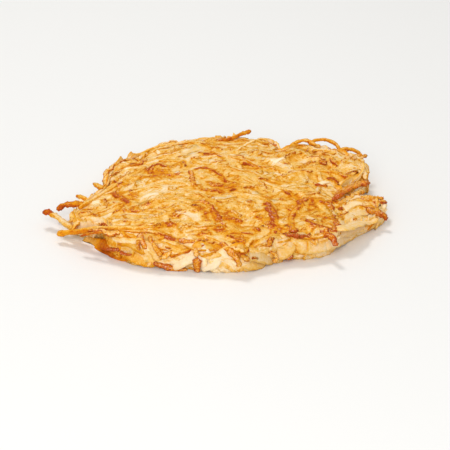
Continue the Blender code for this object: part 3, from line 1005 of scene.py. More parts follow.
# Browned ridges on the crust, read off the photograph: browning, width in millimetres, and routes in pixels
# across and down.
RIDGES = (
    # scorched and bold, their backs paler with specks of dry starch and painted glints
    (0.86, 4.2, (
        ((266, 203), (269, 206), (272, 211), (274, 216), (275, 222)),
        ((299, 236), (305, 236), (311, 236)),
        ((192, 206), (196, 207), (201, 207)),
    )),
    (0.78, 3.8, (
        ((268, 221), (271, 226), (274, 230), (274, 235)),
        ((273, 220), (276, 226), (278, 233)),
        ((291, 222), (291, 227), (294, 230), (299, 231)),
        ((284, 233), (291, 235), (300, 236)),
        ((321, 200), (327, 204), (331, 210), (334, 217)),
        ((334, 216), (335, 222), (334, 228), (331, 232)),
        ((307, 220), (313, 224), (320, 227), (331, 229)),
        ((330, 217), (334, 220), (341, 219), (341, 215)),
        ((308, 223), (316, 228), (326, 233), (338, 240)),
        ((282, 226), (286, 228), (290, 227)),
        ((214, 213), (218, 219), (221, 223), (223, 228)),
    )),
    (0.62, 4.0, (
        ((258, 215), (264, 220), (270, 226)),
        ((332, 170), (338, 173), (346, 175), (352, 176)),
        ((360, 200), (369, 200), (378, 201), (387, 200)),
        ((224, 187), (229, 187), (236, 183)),
    )),
    # dark and fine
    (0.80, 3.0, (
        ((112, 193), (117, 196), (123, 199), (129, 204)),
        ((130, 192), (133, 191), (137, 194)),
        ((204, 146), (209, 144)),
        ((183, 162), (185, 167)),
        ((151, 175), (150, 170), (154, 167)),
        ((141, 206), (145, 205), (149, 203)),
        ((174, 212), (178, 211), (182, 211)),
        ((99, 226), (103, 224), (107, 226)),
        ((153, 227), (158, 227), (162, 226)),
        ((226, 218), (231, 219), (236, 221), (243, 222)),
        ((230, 190), (236, 190)),
        ((299, 200), (302, 206)),
        ((331, 151), (336, 152), (340, 153)),
        ((243, 163), (251, 165), (260, 168)),
        ((252, 229), (256, 229), (258, 232)),
        ((233, 243), (239, 244)),
        ((150, 178), (160, 176), (170, 176), (182, 173)),
        ((363, 206), (369, 208), (374, 210)),
        ((319, 161), (323, 162), (326, 164)),
        ((203, 241), (207, 242)),
        ((354, 171), (357, 173)),
    )),
    # brown and fine
    (0.68, 2.9, (
        ((94, 181), (96, 185), (98, 190)),
        ((129, 166), (133, 164), (138, 165), (143, 161), (148, 162)),
        ((114, 181), (119, 184), (123, 183)),
        ((170, 155), (174, 153), (179, 151)),
        ((178, 157), (183, 157), (188, 157)),
        ((189, 159), (200, 158), (212, 156), (222, 158)),
        ((199, 153), (206, 154), (213, 155)),
        ((147, 172), (150, 168), (156, 165), (163, 165), (171, 168)),
        ((156, 170), (162, 171), (169, 171)),
        ((191, 171), (192, 178), (194, 186), (200, 190), (208, 190)),
        ((193, 170), (203, 168), (213, 171), (220, 176), (227, 183)),
        ((205, 190), (211, 191), (217, 190), (223, 193)),
        ((209, 186), (217, 186), (224, 186)),
        ((330, 203), (334, 201), (339, 203)),
        ((301, 169), (304, 166), (310, 163), (315, 163)),
        ((282, 191), (286, 192), (291, 194)),
        ((331, 158), (334, 161), (338, 166)),
        ((344, 152), (349, 150), (355, 150)),
        ((313, 182), (319, 186), (327, 187)),
        ((326, 179), (332, 179), (338, 183)),
        ((103, 200), (106, 204), (109, 208)),
        ((113, 213), (118, 211), (124, 210), (132, 212)),
        ((131, 208), (137, 207), (144, 204)),
        ((131, 211), (138, 212), (146, 211)),
        ((168, 216), (173, 215), (180, 212)),
        ((158, 224), (165, 223), (171, 222)),
        ((193, 203), (199, 202), (206, 204), (212, 209), (217, 214)),
        ((215, 228), (219, 229), (224, 228)),
        ((265, 239), (268, 242), (271, 239), (268, 237)),
        ((337, 210), (341, 209), (345, 212), (342, 215)),
        ((300, 201), (307, 199), (314, 199)),
    )),
    # amber, soft
    (0.48, 3.2, (
        ((291, 221), (292, 215), (296, 209), (302, 204)),
        ((88, 231), (96, 230), (108, 233), (124, 234)),
        ((257, 178), (263, 179), (269, 180)),
        ((201, 247), (206, 244), (211, 243), (217, 243)),
        ((200, 232), (205, 233), (210, 231)),
        ((226, 236), (233, 237), (240, 240), (246, 241)),
        ((252, 247), (258, 249)),
    )),
    (0.46, 2.8, (
        ((104, 178), (107, 172), (112, 167), (118, 163), (126, 158)),
        ((110, 177), (116, 173), (123, 171)),
        ((120, 182), (125, 178), (131, 173)),
        ((132, 177), (137, 176), (143, 177)),
        ((209, 146), (216, 148), (223, 150)),
        ((146, 162), (152, 160), (159, 158)),
        ((170, 187), (172, 190), (176, 188)),
        ((250, 155), (251, 152), (256, 151), (260, 153), (256, 156)),
        ((243, 188), (250, 187), (264, 187)),
        ((258, 180), (262, 185), (266, 190)),
        ((281, 177), (288, 175), (296, 172), (313, 171)),
        ((284, 158), (287, 155), (295, 153)),
        ((322, 154), (328, 155), (333, 156)),
        ((305, 157), (312, 156), (319, 157), (326, 158)),
        ((341, 163), (347, 160), (354, 157), (367, 155)),
        ((351, 161), (358, 158), (367, 157)),
        ((85, 208), (93, 209), (101, 208)),
        ((80, 212), (90, 212), (95, 214), (98, 217)),
        ((115, 215), (122, 216), (131, 215)),
        ((118, 222), (128, 221), (139, 222)),
        ((148, 203), (158, 200), (168, 199), (181, 198)),
        ((142, 212), (152, 211), (162, 211), (168, 213)),
        ((142, 220), (151, 218), (163, 215)),
        ((145, 231), (152, 231), (160, 233), (168, 237)),
        ((170, 209), (175, 206), (184, 203)),
        ((170, 219), (173, 223), (181, 223)),
        ((176, 218), (183, 213), (191, 210), (199, 213)),
        ((180, 230), (186, 228), (194, 224)),
        ((246, 202), (250, 201), (255, 202)),
        ((260, 227), (264, 226), (269, 228)),
        ((230, 211), (236, 214), (240, 218)),
        ((304, 194), (312, 194), (320, 193)),
        ((359, 207), (364, 205), (370, 203)),
        ((352, 220), (357, 219), (368, 216)),
    )),
    # barely browned, at the back rim
    (0.30, 2.6, (
        ((155, 147), (160, 144), (170, 142), (177, 143)),
        ((185, 142), (190, 141), (196, 141)),
        ((212, 139), (219, 138), (227, 138)),
    )),
)

# The golden strands between them, likewise.
STRANDS = (
    (0.42, 3.2, ((71, 219), (86, 206), (106, 192), (123, 180), (131, 172))),
    (0.34, 3.2, ((71, 222), (75, 213), (86, 208), (100, 207), (114, 208))),
    (0.28, 3.2, ((72, 226), (80, 221), (90, 218), (101, 219))),
    (0.46, 3.0, ((80, 231), (100, 231), (124, 231), (151, 231), (167, 236))),
    (0.34, 3.0, ((92, 214), (104, 211), (116, 205), (124, 203))),
    (0.40, 3.0, ((129, 193), (139, 191), (152, 187), (163, 188))),
    (0.46, 3.0, ((104, 186), (112, 176), (121, 169), (132, 166), (144, 163))),
    (0.28, 3.0, ((136, 164), (152, 159), (167, 155), (181, 152))),
    (0.42, 3.0, ((148, 154), (162, 148), (178, 144), (196, 142))),
    (0.30, 2.6, ((182, 160), (200, 158), (228, 157))),
    (0.44, 2.8, ((158, 197), (170, 193), (184, 191), (198, 194), (208, 199))),
    (0.36, 3.2, ((138, 220), (152, 222), (166, 222), (178, 220))),
    (0.50, 2.6, ((179, 230), (187, 227), (195, 223))),
    (0.46, 2.8, ((98, 228), (112, 229), (126, 227), (142, 225), (156, 224))),
    (0.34, 2.8, ((210, 152), (230, 157), (250, 162), (267, 168))),
    (0.28, 3.0, ((236, 152), (246, 145), (259, 140))),
    (0.34, 3.0, ((257, 138), (267, 140), (279, 145))),
    (0.46, 2.6, ((283, 158), (292, 154), (302, 152))),
    (0.26, 3.6, ((310, 147), (324, 150), (338, 153))),
    (0.30, 3.4, ((341, 152), (353, 156), (364, 162))),
    (0.44, 3.0, ((354, 164), (362, 168), (369, 173))),
    (0.26, 4.6, ((340, 160), (354, 163), (363, 170), (366, 179))),
    (0.30, 3.2, ((262, 181), (273, 186), (288, 190), (302, 191))),
    (0.30, 3.2, ((226, 165), (238, 170), (250, 172), (262, 176))),
    (0.40, 2.8, ((232, 196), (246, 195), (260, 198), (270, 203))),
    (0.28, 3.0, ((184, 224), (198, 227), (212, 225), (226, 222))),
    (0.26, 3.6, ((205, 236), (220, 241), (232, 247), (244, 252))),
    (0.30, 3.0, ((120, 216), (136, 215), (152, 216), (170, 217))),
    (0.34, 3.0, ((154, 184), (168, 181), (180, 182), (190, 186))),
    (0.40, 2.8, ((160, 205), (172, 203), (186, 206), (198, 212))),
)

# Broad shreds that stayed pale and smooth on top, likewise.
PALE_SLABS = (
    (0.38, 10.0, ((336, 222), (348, 216), (360, 212), (373, 208))),  # tongue
    (0.34, 10.0, ((336, 230), (350, 226), (362, 222), (377, 217))),
    (0.32, 6.5, ((340, 213), (350, 206), (360, 203), (373, 203))),
    # painted glint: a white slab at the end of the tongue
    (0.02, 5.0, ((376, 203), (382, 205), (384, 210))),
    (0.22, 6.0, ((338, 203), (347, 199), (356, 196), (364, 196))),
    (0.20, 5.5, ((173, 212), (181, 212), (190, 214), (198, 220))),  # window in front of the middle
    (0.16, 4.5, ((112, 221), (121, 221), (130, 220))),
    (0.20, 4.5, ((141, 226), (149, 224), (157, 223))),
    (0.18, 4.5, ((142, 198), (150, 195), (158, 194))),
    (0.10, 4.5, ((78, 203), (85, 200), (92, 198))),
    (0.12, 4.0, ((92, 205), (98, 202), (105, 201))),
    # painted glint: a pale slab where light glints on the left of the crust
    (0.14, 3.4, ((103, 219), (107, 216), (112, 212))),
    (0.08, 3.4, ((274, 163), (278, 160), (283, 158))),  # painted glint behind the middle: a pale slab where light glints
    (0.40, 4.5, ((296, 226), (303, 223), (309, 225))),
    (0.28, 4.5, ((317, 186), (323, 182), (329, 181))),
)

# Shreds that stand out from the edge: how brown, how wide and where, in millimetres.
STRAYS = {
    "left_tip": (0.84, 5.0, ((-108.8, -12, 9), (-106, -12.5, 9.6), (-102.5, -14, 9.5))),
    "left_tip_stem": (
        0.26, 5.0, ((-104, -13, 9), (-99, -18, 8.5), (-93, -26, 7.5), (-86, -34, 7), (-78, -38, 8))
    ),
    "left_arc": (0.74, 5.0, ((-100.5, -6, 8), (-97, -2.5, 9.4), (-91, -2.5, 10.4), (-84, -8, 12))),
    "left_stub": (0.58, 3.2, ((-90, 8, 11), (-87, 4, 12), (-83, -1, 12.4))),
    "left_back_stub": (0.52, 4.0, ((-80.5, 23, 12.5), (-78, 18, 13.6), (-75, 12, 14.2))),
    "left_long": (
        0.46, 5.2, ((-98.5, -33, 5), (-86, -38, 9), (-72, -45, 14), (-56, -51, 17), (-42, -54, 18))
    ),
    "left_side_long": (0.44, 3.2, ((-87, -12, 12), (-76, 2, 14), (-63, 18, 16), (-49, 37, 18))),
    "back_left_rim": (0.46, 3.2, ((-64, 58, 13), (-54, 65, 15), (-43, 72, 17), (-31, 76, 18))),
    "back_tip": (0.62, 3.2, ((-8, 77, 17.4), (4, 80.5, 19.6), (11, 83.5, 21.5), (17, 86.5, 22.4))),
    "back_curl": (0.56, 3.0, ((41, 68, 18), (45, 74, 19), (52, 76, 20), (58, 70, 19))),
    "loop": (0.60, 3.0, ((54, 72, 18), (58, 75.5, 20.2), (65, 75, 20.8), (71, 69, 20), (73.5, 62, 18))),
    "shoulder_arc": (0.58, 3.0, ((70, 60, 18), (77, 62, 20), (84, 59, 19), (87, 53, 17))),
    "shoulder_tip": (0.52, 3.2, ((72, 40, 18), (80, 43, 18), (85, 43, 16), (88, 38, 14))),
    "tongue_end": (0.12, 3.4, ((89, 7, 9), (94, 4, 9), (95.6, -2, 9), (94, -9, 8.5))),
}
# The crisp ones among them, at the right.
CRISP_STRAYS = {
    "right_strip": (
        0.78, 4.6, ((64, -8, 15.2), (70, -0.5, 16), (76, 8, 16), (82, 14, 15.6), (88, 20, 15.2))
    ),
    "right_strip_back": (
        0.66, 3.4, ((66, 0, 15.2), (72, 7.4, 15.6), (78, 13.9, 15.2), (83, 18.9, 14.8), (85, 24, 14))
    ),
    "right_strip_front": (
        0.56, 4.0, ((67, -10.3, 13.4), (73, -3.3, 13.6), (79, 4.2, 13.6), (84, 10.2, 13.2))
    ),
    "tongue_ridge": (0.56, 3.4, ((78, 2, 12), (84, 3, 12), (90, 3, 12), (96, 4, 11))),
    "tongue_tip": (0.76, 4.4, ((84, -12.4, 10.8), (89, -13.4, 10.8), (93, -15, 9.2), (96.5, -17.4, 7.2))),
}

# Shreds and folds that hang on the side, read off the photograph like the ridges.
SIDE_ROUTES = (
    # steamed folds, broad and pale
    (0.02, 6.5, ((200, 268), (207, 266), (214, 263), (220, 259))),
    (0.10, 6.0, ((170, 266), (178, 264), (187, 260), (196, 254))),
    (0.46, 7.5, ((114, 240), (126, 241), (138, 246), (146, 252))),
    (0.38, 7.0, ((122, 252), (134, 257), (144, 261), (157, 264))),
    (0.22, 7.0, ((150, 246), (155, 253), (160, 260))),
    (0.18, 7.0, ((161, 245), (167, 249), (173, 253))),
    (0.12, 6.0, ((166, 246), (174, 249), (180, 254))),
    (0.40, 6.0, ((200, 253), (211, 254), (222, 252))),
    (0.24, 6.5, ((241, 256), (254, 256), (264, 258), (276, 262))),
    (0.34, 6.0, ((240, 264), (252, 265), (266, 265))),
    (0.20, 9.0, ((275, 256), (284, 252), (291, 247), (292, 240))),
    (0.26, 10.0, ((296, 244), (306, 246), (318, 246), (330, 242))),
    (0.26, 8.0, ((320, 247), (334, 242), (346, 236), (360, 230))),
    (0.20, 7.0, ((340, 235), (354, 229), (368, 224), (380, 218))),
    # amber folds in their shade
    (0.48, 7.0, ((80, 240), (94, 243), (108, 245), (120, 250))),
    (0.50, 6.0, ((92, 247), (104, 252), (116, 256), (128, 260))),
    (0.60, 5.0, ((204, 250), (214, 248), (224, 250))),
    (0.42, 4.0, ((294, 249), (304, 252), (314, 253))),
    (0.62, 3.4, ((338, 242), (350, 238), (363, 233), (376, 226))),
    (0.62, 3.0, ((316, 252), (328, 248), (338, 243))),
)

# Fried shreds that hang over the edge, likewise.
HANGERS = (
    # painted shadow: a brown shred along the foot, where the front lies in dark amber shade
    (0.70, 3.0, ((152, 263), (163, 266), (175, 269), (187, 271))),
    (0.94, 3.6, ((163, 240), (167, 239), (171, 241), (177, 240))),
    (0.64, 2.4, ((175, 240), (184, 241), (193, 241), (201, 240))),
    (1.00, 2.8, ((101, 246), (109, 249), (118, 250))),
    (0.90, 2.2, ((119, 252), (125, 254), (131, 255))),
    (0.64, 2.8, ((147, 234), (140, 236), (138, 243), (138, 251))),
    (0.66, 2.6, ((141, 237), (143, 243), (146, 249))),
    (0.54, 2.8, ((147, 234), (152, 242), (157, 250), (161, 256))),
    (0.46, 3.0, ((159, 259), (165, 256), (172, 251))),
    (0.34, 2.6, ((145, 266), (151, 263))),
    (0.52, 3.2, ((195, 249), (196, 253), (197, 257))),
    (0.88, 4.4, ((197, 258), (197, 263), (197, 268), (197, 273))),
    (0.60, 3.4, ((220, 243), (230, 251), (237, 259), (240, 267))),
    (0.56, 3.2, ((235, 248), (243, 256), (250, 261))),
    (0.48, 3.0, ((271, 252), (277, 257), (274, 263))),
    (0.68, 3.0, ((268, 236), (270, 241), (268, 247))),
    (0.66, 3.6, ((286, 257), (290, 257), (293, 255))),
    (0.52, 3.0, ((309, 236), (312, 241), (316, 243), (317, 239))),
)


AIM_ROUNDS = 6  # how often a ray's meeting with the crust is worked out again
RAY_START = 0.024  # the height from which a ray is followed down to the side
RAY_STEPS = 240
FOLD_STAND = 0.0007  # how far a fold's middle line stands out of the side


def camera_axes():
    """The camera's place and its forward, right and up directions."""
    back = Vector((0, -math.cos(CAMERA_ELEVATION), math.sin(CAMERA_ELEVATION)))
    right = Vector((1, 0, 0))
    return CAMERA_AIM + back * CAMERA_DISTANCE, -back, right, right.cross(-back)


def view_ray(across, down):
    """Where the camera stands, and the direction from it to a pixel."""
    eye, forward, right, up = camera_axes()
    focal = CAMERA_LENS / CAMERA_SENSOR * PHOTO_SIDE
    return eye, forward * focal + right * (across - PHOTO_SIDE / 2) + up * (PHOTO_SIDE / 2 - down)


def crust_point(form, across, down):
    """The point of the crust that the photograph shows at a pixel."""
    eye, ray = view_ray(across, down)
    height = form.sizes.edge
    for _ in range(AIM_ROUNDS):
        point = eye + ray * ((height - eye.z) / ray.z)
        height = float(form.crust.ceiling.at(np.array(point)))
    return point.x, point.y


def side_point(form, across, down, stand):
    """The outermost point of the patty, side or crust, that the photograph shows at a pixel."""
    eye, ray = view_ray(across, down)
    height = np.linspace(RAY_START, FLOOR_GAP, RAY_STEPS)
    points = np.array(eye) + np.array(ray) * ((height - eye.z) / ray.z)[:, None]
    x, y = points[:, 0], points[:, 1]
    edge = form.edge_radius(np.degrees(np.arctan2(y, x)))
    ceiling = form.crust_height(x, y) + stand - FOLD_STAND
    wall = edge * np.interp(height / ceiling, SIDE_LEVELS, SIDE_SHARES) + SIDE_PILE + stand
    inside = (np.hypot(x, y) < wall) & (height < ceiling)
    return points[np.argmax(inside)] if inside.any() else points[-1]


# ---------------------------------------------------------------- the operators


MAT_SHREDS = Sort(
    lengths=(16, 38), widths=(3.4, 5.6), flatness=(0.30, 0.45), curl=80, wave=16, lifts=(-0.7, 0.2),
    browning=0.38, uneven=0.07, edge=0.30, roll=0.12, twist=0.2,
)
MAT_RIBBONS = Sort(
    lengths=(14, 28), widths=(6.0, 10.0), flatness=(0.16, 0.24), curl=60, wave=14, lifts=(-0.6, 0.1),
    browning=0.34, uneven=0.07, edge=0.30, roll=0.08, twist=0.15,
)
MAT_REACH = 0.97  # how far out their middles are, as a share of the way to the edge
MAT_LIMITS = (0.94, 1.01)  # and how far out they may reach


class PATTY_OT_crust_mat(bpy.types.Operator):
    """Lays the golden mat of shreds that makes the crust"""

    bl_idname = "patty.crust_mat"
    bl_label = "Crust mat"

    def execute(self, context):
        counts = context.scene.patty_counts
        form = STATE["patty"] = Patty(context.scene.patty_sizes)
        draw = form.draw
        shreds = []
        count = counts.mat + counts.ribbons
        for bearing, share, x, y in scattered(form, count, MAT_REACH):
            sort = MAT_RIBBONS if draw.uniform() * count < counts.ribbons else MAT_SHREDS
            heading = rim_heading(form, bearing, share)
            shreds.append(vary(form, sort, x, y, heading, draw.uniform(*MAT_LIMITS)))
        form.mat_lines = [(shred.line[:, :2], shred.width) for shred in shreds]
        mesh_shreds("crust_mat", form, shreds, "fried_potato")
        return {"FINISHED"}


CRISPS = Sort(
    lengths=(7, 18), widths=(1.8, 3.0), flatness=(0.5, 0.7), curl=90, wave=18, lifts=(-0.5, 0.1), bend=6,
    browning=0.46, uneven=0.12, edge=0.40, roll=0.3, twist=0.9,
)
EDGE_CRISPS = Sort(
    widths=(0.7, 1.2), flatness=(0.6, 0.9), lifts=(-0.2, 0.3), bend=5,
    browning=0.60, uneven=0.10, edge=0.0, roll=0.3, twist=0.4,
)
EDGE_CRISP_CHANCE = 0.14  # how many of the mat's shreds have one crisp edge
EDGE_CRISP_PLACE = 0.42  # how far it is from the shred's middle, as a share of its width
EDGE_CRISP_SPANS = (0.35, 0.9)  # how much of the shred's length it runs along
CRISPS_REACH = 0.95
CRISPS_LIMIT = 0.985
CRISPS_PULL = 0.5  # how strongly they follow the edge
CRISP_LEAST_TONE = -0.12  # where the crust stayed paler than this there are none


class PATTY_OT_crisps(bpy.types.Operator):
    """Lays thin crisp shreds over the crust, and crisp threads along the edges of its shreds"""

    bl_idname = "patty.crisps"
    bl_label = "Crisps"

    def execute(self, context):
        form = patty()
        draw = form.draw
        shreds = []
        for line, width in form.mat_lines:
            if draw.uniform() < EDGE_CRISP_CHANCE:
                shreds.append(self.edge_crisp(form, line, width))
        for bearing, share, x, y in scattered(form, context.scene.patty_counts.crisps, CRISPS_REACH):
            if crust_tone(form, x, y) > CRISP_LEAST_TONE:
                heading = rim_heading(form, bearing, share, CRISPS_PULL)
                shreds.append(vary(form, CRISPS, x, y, heading, CRISPS_LIMIT))
        mesh_shreds("crisps", form, shreds, "crisp_potato", rings=14, ragged=0.24, frill=0.16)
        return {"FINISHED"}

    def edge_crisp(self, form, line, width):
        """A thread along one edge of a shred, from above."""
        draw = form.draw
        span = draw.uniform(*EDGE_CRISP_SPANS) * (LINE_POINTS - 1)
        start = draw.uniform(0, LINE_POINTS - 1 - span)
        part = between(line, np.linspace(start, start + span, LINE_POINTS))
        steps = unit(np.gradient(part, axis=0))
        side = draw.choice((-1, 1)) * EDGE_CRISP_PLACE * width
        part = part + side * np.stack((-steps[:, 1], steps[:, 0]), axis=1)
        own_width, thickness = girth(draw, EDGE_CRISPS)
        browning = tone(draw, EDGE_CRISPS)
        part = laid(draw, EDGE_CRISPS, form.crust, part, own_width, thickness, browning)
        return finished(draw, EDGE_CRISPS, part, own_width, thickness, browning)


RIM_DIP = 0.008  # how much more a traced shred may hang down at the rim
RIM_BEND = (0.93, 1.0)  # and where it does, as shares of the way to the edge


def traced(form, routes, sort, lift, dip):
    """Shreds of one sort laid on the crust along routes in pixels, which sag by no more than the dip."""
    shreds = []
    for browning, width, pixels in routes:
        line = smooth_route([crust_point(form, *pixel) for pixel in pixels])
        thickness = form.draw.uniform(*sort.flatness) * width * MM
        line = lay(form.crust, line, width * MM, thickness, browning, lift, sort.bend * MM)
        least = form.crust.ceiling.at(line) + lift - thickness / 2 - dip
        overhang = RIM_DIP * blend(*RIM_BEND, form.edge_share(line[:, 0], line[:, 1]))
        line[:, 2] = np.maximum(line[:, 2], least - overhang)
        shreds.append(finished(form.draw, sort, line, width * MM, thickness, browning))
    return shreds


STRAND = Sort(flatness=(0.4, 0.55), edge=0.32, roll=0.2, twist=0.5, bend=40)
STRAND_LIFT = 0.0007  # the most that it stands over the crust
STRAND_DIP = 0.0012  # and that it sags between the shreds that carry it
SLAB = Sort(flatness=(0.10, 0.16), edge=0.06, roll=0.05, twist=0.1, bend=40)
SLAB_LIFT = 0.0004
SLAB_DIP = 0.0006


class PATTY_OT_strands(bpy.types.Operator):
    """Lays the long golden strands and the pale slabs that the photograph shows on the crust"""

    bl_idname = "patty.strands"
    bl_label = "Golden strands"

    def execute(self, context):
        shreds = traced(patty(), STRANDS, STRAND, STRAND_LIFT, STRAND_DIP)
        mesh_shreds("golden_strands", patty(), shreds, "fried_potato", rings=24, sides=8)
        shreds = traced(patty(), PALE_SLABS, SLAB, SLAB_LIFT, SLAB_DIP)
        mesh_shreds("pale_slabs", patty(), shreds, "steamed_potato", rings=24, sides=10, ragged=0.12)
        return {"FINISHED"}


RIDGE = Sort(flatness=(0.5, 0.65), edge=0.40, tips=0.10, roll=0.3, twist=0.8, bend=25)
RIDGE_LIFT = 0.0008
RIDGE_DIP = 0.0003


class PATTY_OT_ridges(bpy.types.Operator):
    """Lays the browned ridges that the photograph shows on the crust"""

    bl_idname = "patty.ridges"
    bl_label = "Ridges"

    def execute(self, context):
        routes = [(browning, width, route) for browning, width, group in RIDGES for route in group]
        shreds = traced(patty(), routes, RIDGE, RIDGE_LIFT, RIDGE_DIP)
        mesh_shreds("ridges", patty(), shreds, "crisp_potato", rings=30, sides=8, ragged=0.32, frill=0.20)
        return {"FINISHED"}


CRUMBS = Sort(
    lengths=(1.5, 5), widths=(0.8, 1.8), flatness=(0.7, 0.9), curl=80, wave=10, lifts=(0, 0.3),
    browning=0.55, uneven=0.16, edge=0.0,
)


class PATTY_OT_crumbs(bpy.types.Operator):
    """Scatters fried crumbs and broken ends between the shreds"""

    bl_idname = "patty.crumbs"
    bl_label = "Crumbs"

    def execute(self, context):
        form = patty()
        shreds = []
        for *_, x, y in scattered(form, context.scene.patty_counts.crumbs, CRISPS_REACH):
            if crust_tone(form, x, y) > CRISP_LEAST_TONE:
                shreds.append(vary(form, CRUMBS, x, y, form.draw.uniform(0, 360)))
        mesh_shreds("crumbs", form, shreds, "crisp_potato", rings=5, ragged=0.3)
        return {"FINISHED"}


SKIN_CELL = 0.00064  # size of its faces
SKIN_EDGE = 0.965  # where the skin ends, as a share of the way to the edge
SKIN_WAVER = 0.022  # how far its end wanders in and out
SKIN_BAYS = 7.0  # how often it does so round the patty
SKIN_ROUND = 0.05  # width of the band in which it bends down at its end
SKIN_DROP = 0.0024  # and how far it bends down
SKIN_RISE = 0.0006  # the most that it stands over the crust's height
LIP = 0.0016  # how far down its end is turned under
LIP_SCALE = 0.985  # and how far in


class PATTY_OT_crust_skin(bpy.types.Operator):
    """Drapes the skin of fused starch over the shreds of the crust"""

    bl_idname = "patty.crust_skin"
    bl_label = "Crust skin"

    def execute(self, context):
        form = patty()
        form.crust.fuse(CRUST_WEB_LAYER, SKIN_BLUR, SKIN_SEAM)
        mesh = self.sheet(form)
        points = coordinates(mesh)
        share = form.edge_share(points[:, 0], points[:, 1])
        turned_under = points[:, 2] < 0
        height = np.minimum(form.crust.skin.at(points), form.crust.ceiling.at(points) + SKIN_RISE)
        height = height - SKIN_DROP * blend(SKIN_EDGE - SKIN_ROUND, SKIN_EDGE + SKIN_WAVER, share)
        points[:, 2] = height - LIP * turned_under
        # painted shade on the skin as well: browner down in the crevices, paler at the top
        fried = form.crust.skin_browning(points) + DEPTH_SHADE_TONE * (out_of_crevice_share(form, points) - 0.5)
        dress(mesh, points, {"browning": fried + region_browning(form, points)}, "fused_starch")
        finish_piece(new_object("crust_skin", mesh))
        return {"FINISHED"}

    def sheet(self, form):
        """A flat sheet of the crust's outline; the rim that is turned under lies a metre lower."""
        shape = bmesh.new()
        low, high = np.array(form.CRUST_LOW), np.array(form.CRUST_HIGH)
        columns, rows = (int(side) for side in (high - low) / SKIN_CELL)
        bmesh.ops.create_grid(shape, x_segments=columns, y_segments=rows, size=0.5)
        bmesh.ops.scale(shape, verts=shape.verts, vec=(*(high - low), 1))
        bmesh.ops.translate(shape, verts=shape.verts, vec=(*(high + low) / 2, 0))
        flat = np.array([vertex.co[:2] for vertex in shape.verts])
        share = form.edge_share(flat[:, 0], flat[:, 1])
        bearing = np.arctan2(flat[:, 1], flat[:, 0])
        waver = patches(np.cos(bearing), np.sin(bearing), 1 / SKIN_BAYS, RIM_LAYER)
        outside = share > SKIN_EDGE + SKIN_WAVER * waver
        outer = [vertex for vertex, out in zip(shape.verts, outside) if out]
        bmesh.ops.delete(shape, geom=outer, context="VERTS")
        loose = [vertex for vertex in shape.verts if len(vertex.link_faces) < 2]
        bmesh.ops.delete(shape, geom=loose, context="VERTS")
        rim = [edge for edge in shape.edges if edge.is_boundary]
        turned = bmesh.ops.extrude_edge_only(shape, edges=rim)["geom"]
        turned = [item for item in turned if isinstance(item, bmesh.types.BMVert)]
        bmesh.ops.translate(shape, verts=turned, vec=(0, 0, -1))
        bmesh.ops.scale(shape, verts=turned, vec=(LIP_SCALE, LIP_SCALE, 1))
        return mesh_of("crust_skin", shape)


SIDE_SHREDS = Sort(
    lengths=(10, 30), widths=(2.2, 4.0), flatness=(0.4, 0.6), curl=50, wave=12, lifts=(-0.6, 0.8), bend=5,
    browning=0.30, uneven=0.12, edge=0.14, roll=0.3, twist=0.5,
)
SIDE_RIBBONS = Sort(
    lengths=(12, 28), widths=(5.0, 9.5), flatness=(0.14, 0.22), curl=40, wave=10, lifts=(-0.6, 0.9), bend=5,
    browning=0.24, uneven=0.11, edge=0.16, roll=0.25, twist=0.5,
)
SIDE_RIBBON_SHARE = 0.6  # how many of them are ribbons
SIDE_SLANT = 38.0  # degrees that they lean, as a spread
SIDE_BAND = (0.04, 0.94)  # how low and high they may be, as shares of the crust's height


class PATTY_OT_side_mat(bpy.types.Operator):
    """Lays the pale shreds of the side, standing and lying, on its wall"""

    bl_idname = "patty.side_mat"
    bl_label = "Side mat"

    def execute(self, context):
        form = patty()
        draw = form.draw
        shreds = []
        for _ in range(context.scene.patty_counts.side):
            sort = SIDE_RIBBONS if draw.uniform() < SIDE_RIBBON_SHARE else SIDE_SHREDS
            along = draw.uniform(-math.pi, math.pi) * SIDE_RADIUS
            rim = form.rim_height(math.degrees(along / SIDE_RADIUS))
            width, thickness = girth(draw, sort)
            browning = tone(draw, sort)
            height = draw.uniform(*SIDE_BAND) * rim
            line = sprawl(draw, sort, along, height, draw.normal(0, SIDE_SLANT))
            line[:, 1] = np.clip(line[:, 1], SIDE_BAND[0] * rim, SIDE_BAND[1] * rim)
            line = laid(draw, sort, form.side, line, width, thickness, browning)
            shreds.append(finished(draw, sort, form.side_points(line), width, thickness, browning))
        mesh_shreds("side_mat", form, shreds, "steamed_potato", depth_shade=0.0, ragged=0.10, facing=radial)
        return {"FINISHED"}


def radial(points):
    """The level direction away from the patty's middle."""
    return unit(points * (1, 1, 0))


SIDE_SEGMENTS = 800
SIDE_CUTS = 26
SIDE_TOP = 0.97  # how high the side's skin reaches, as a share of the crust's height
SIDE_FOOT = 0.0004
SIDE_LIP = 0.88  # its lowest ring is turned under the patty, to this share of the way out
SIDE_GRADIENT = 0.10  # how much browner the side is at its top and foot than between
SIDE_GRADIENT_MEAN = 0.3


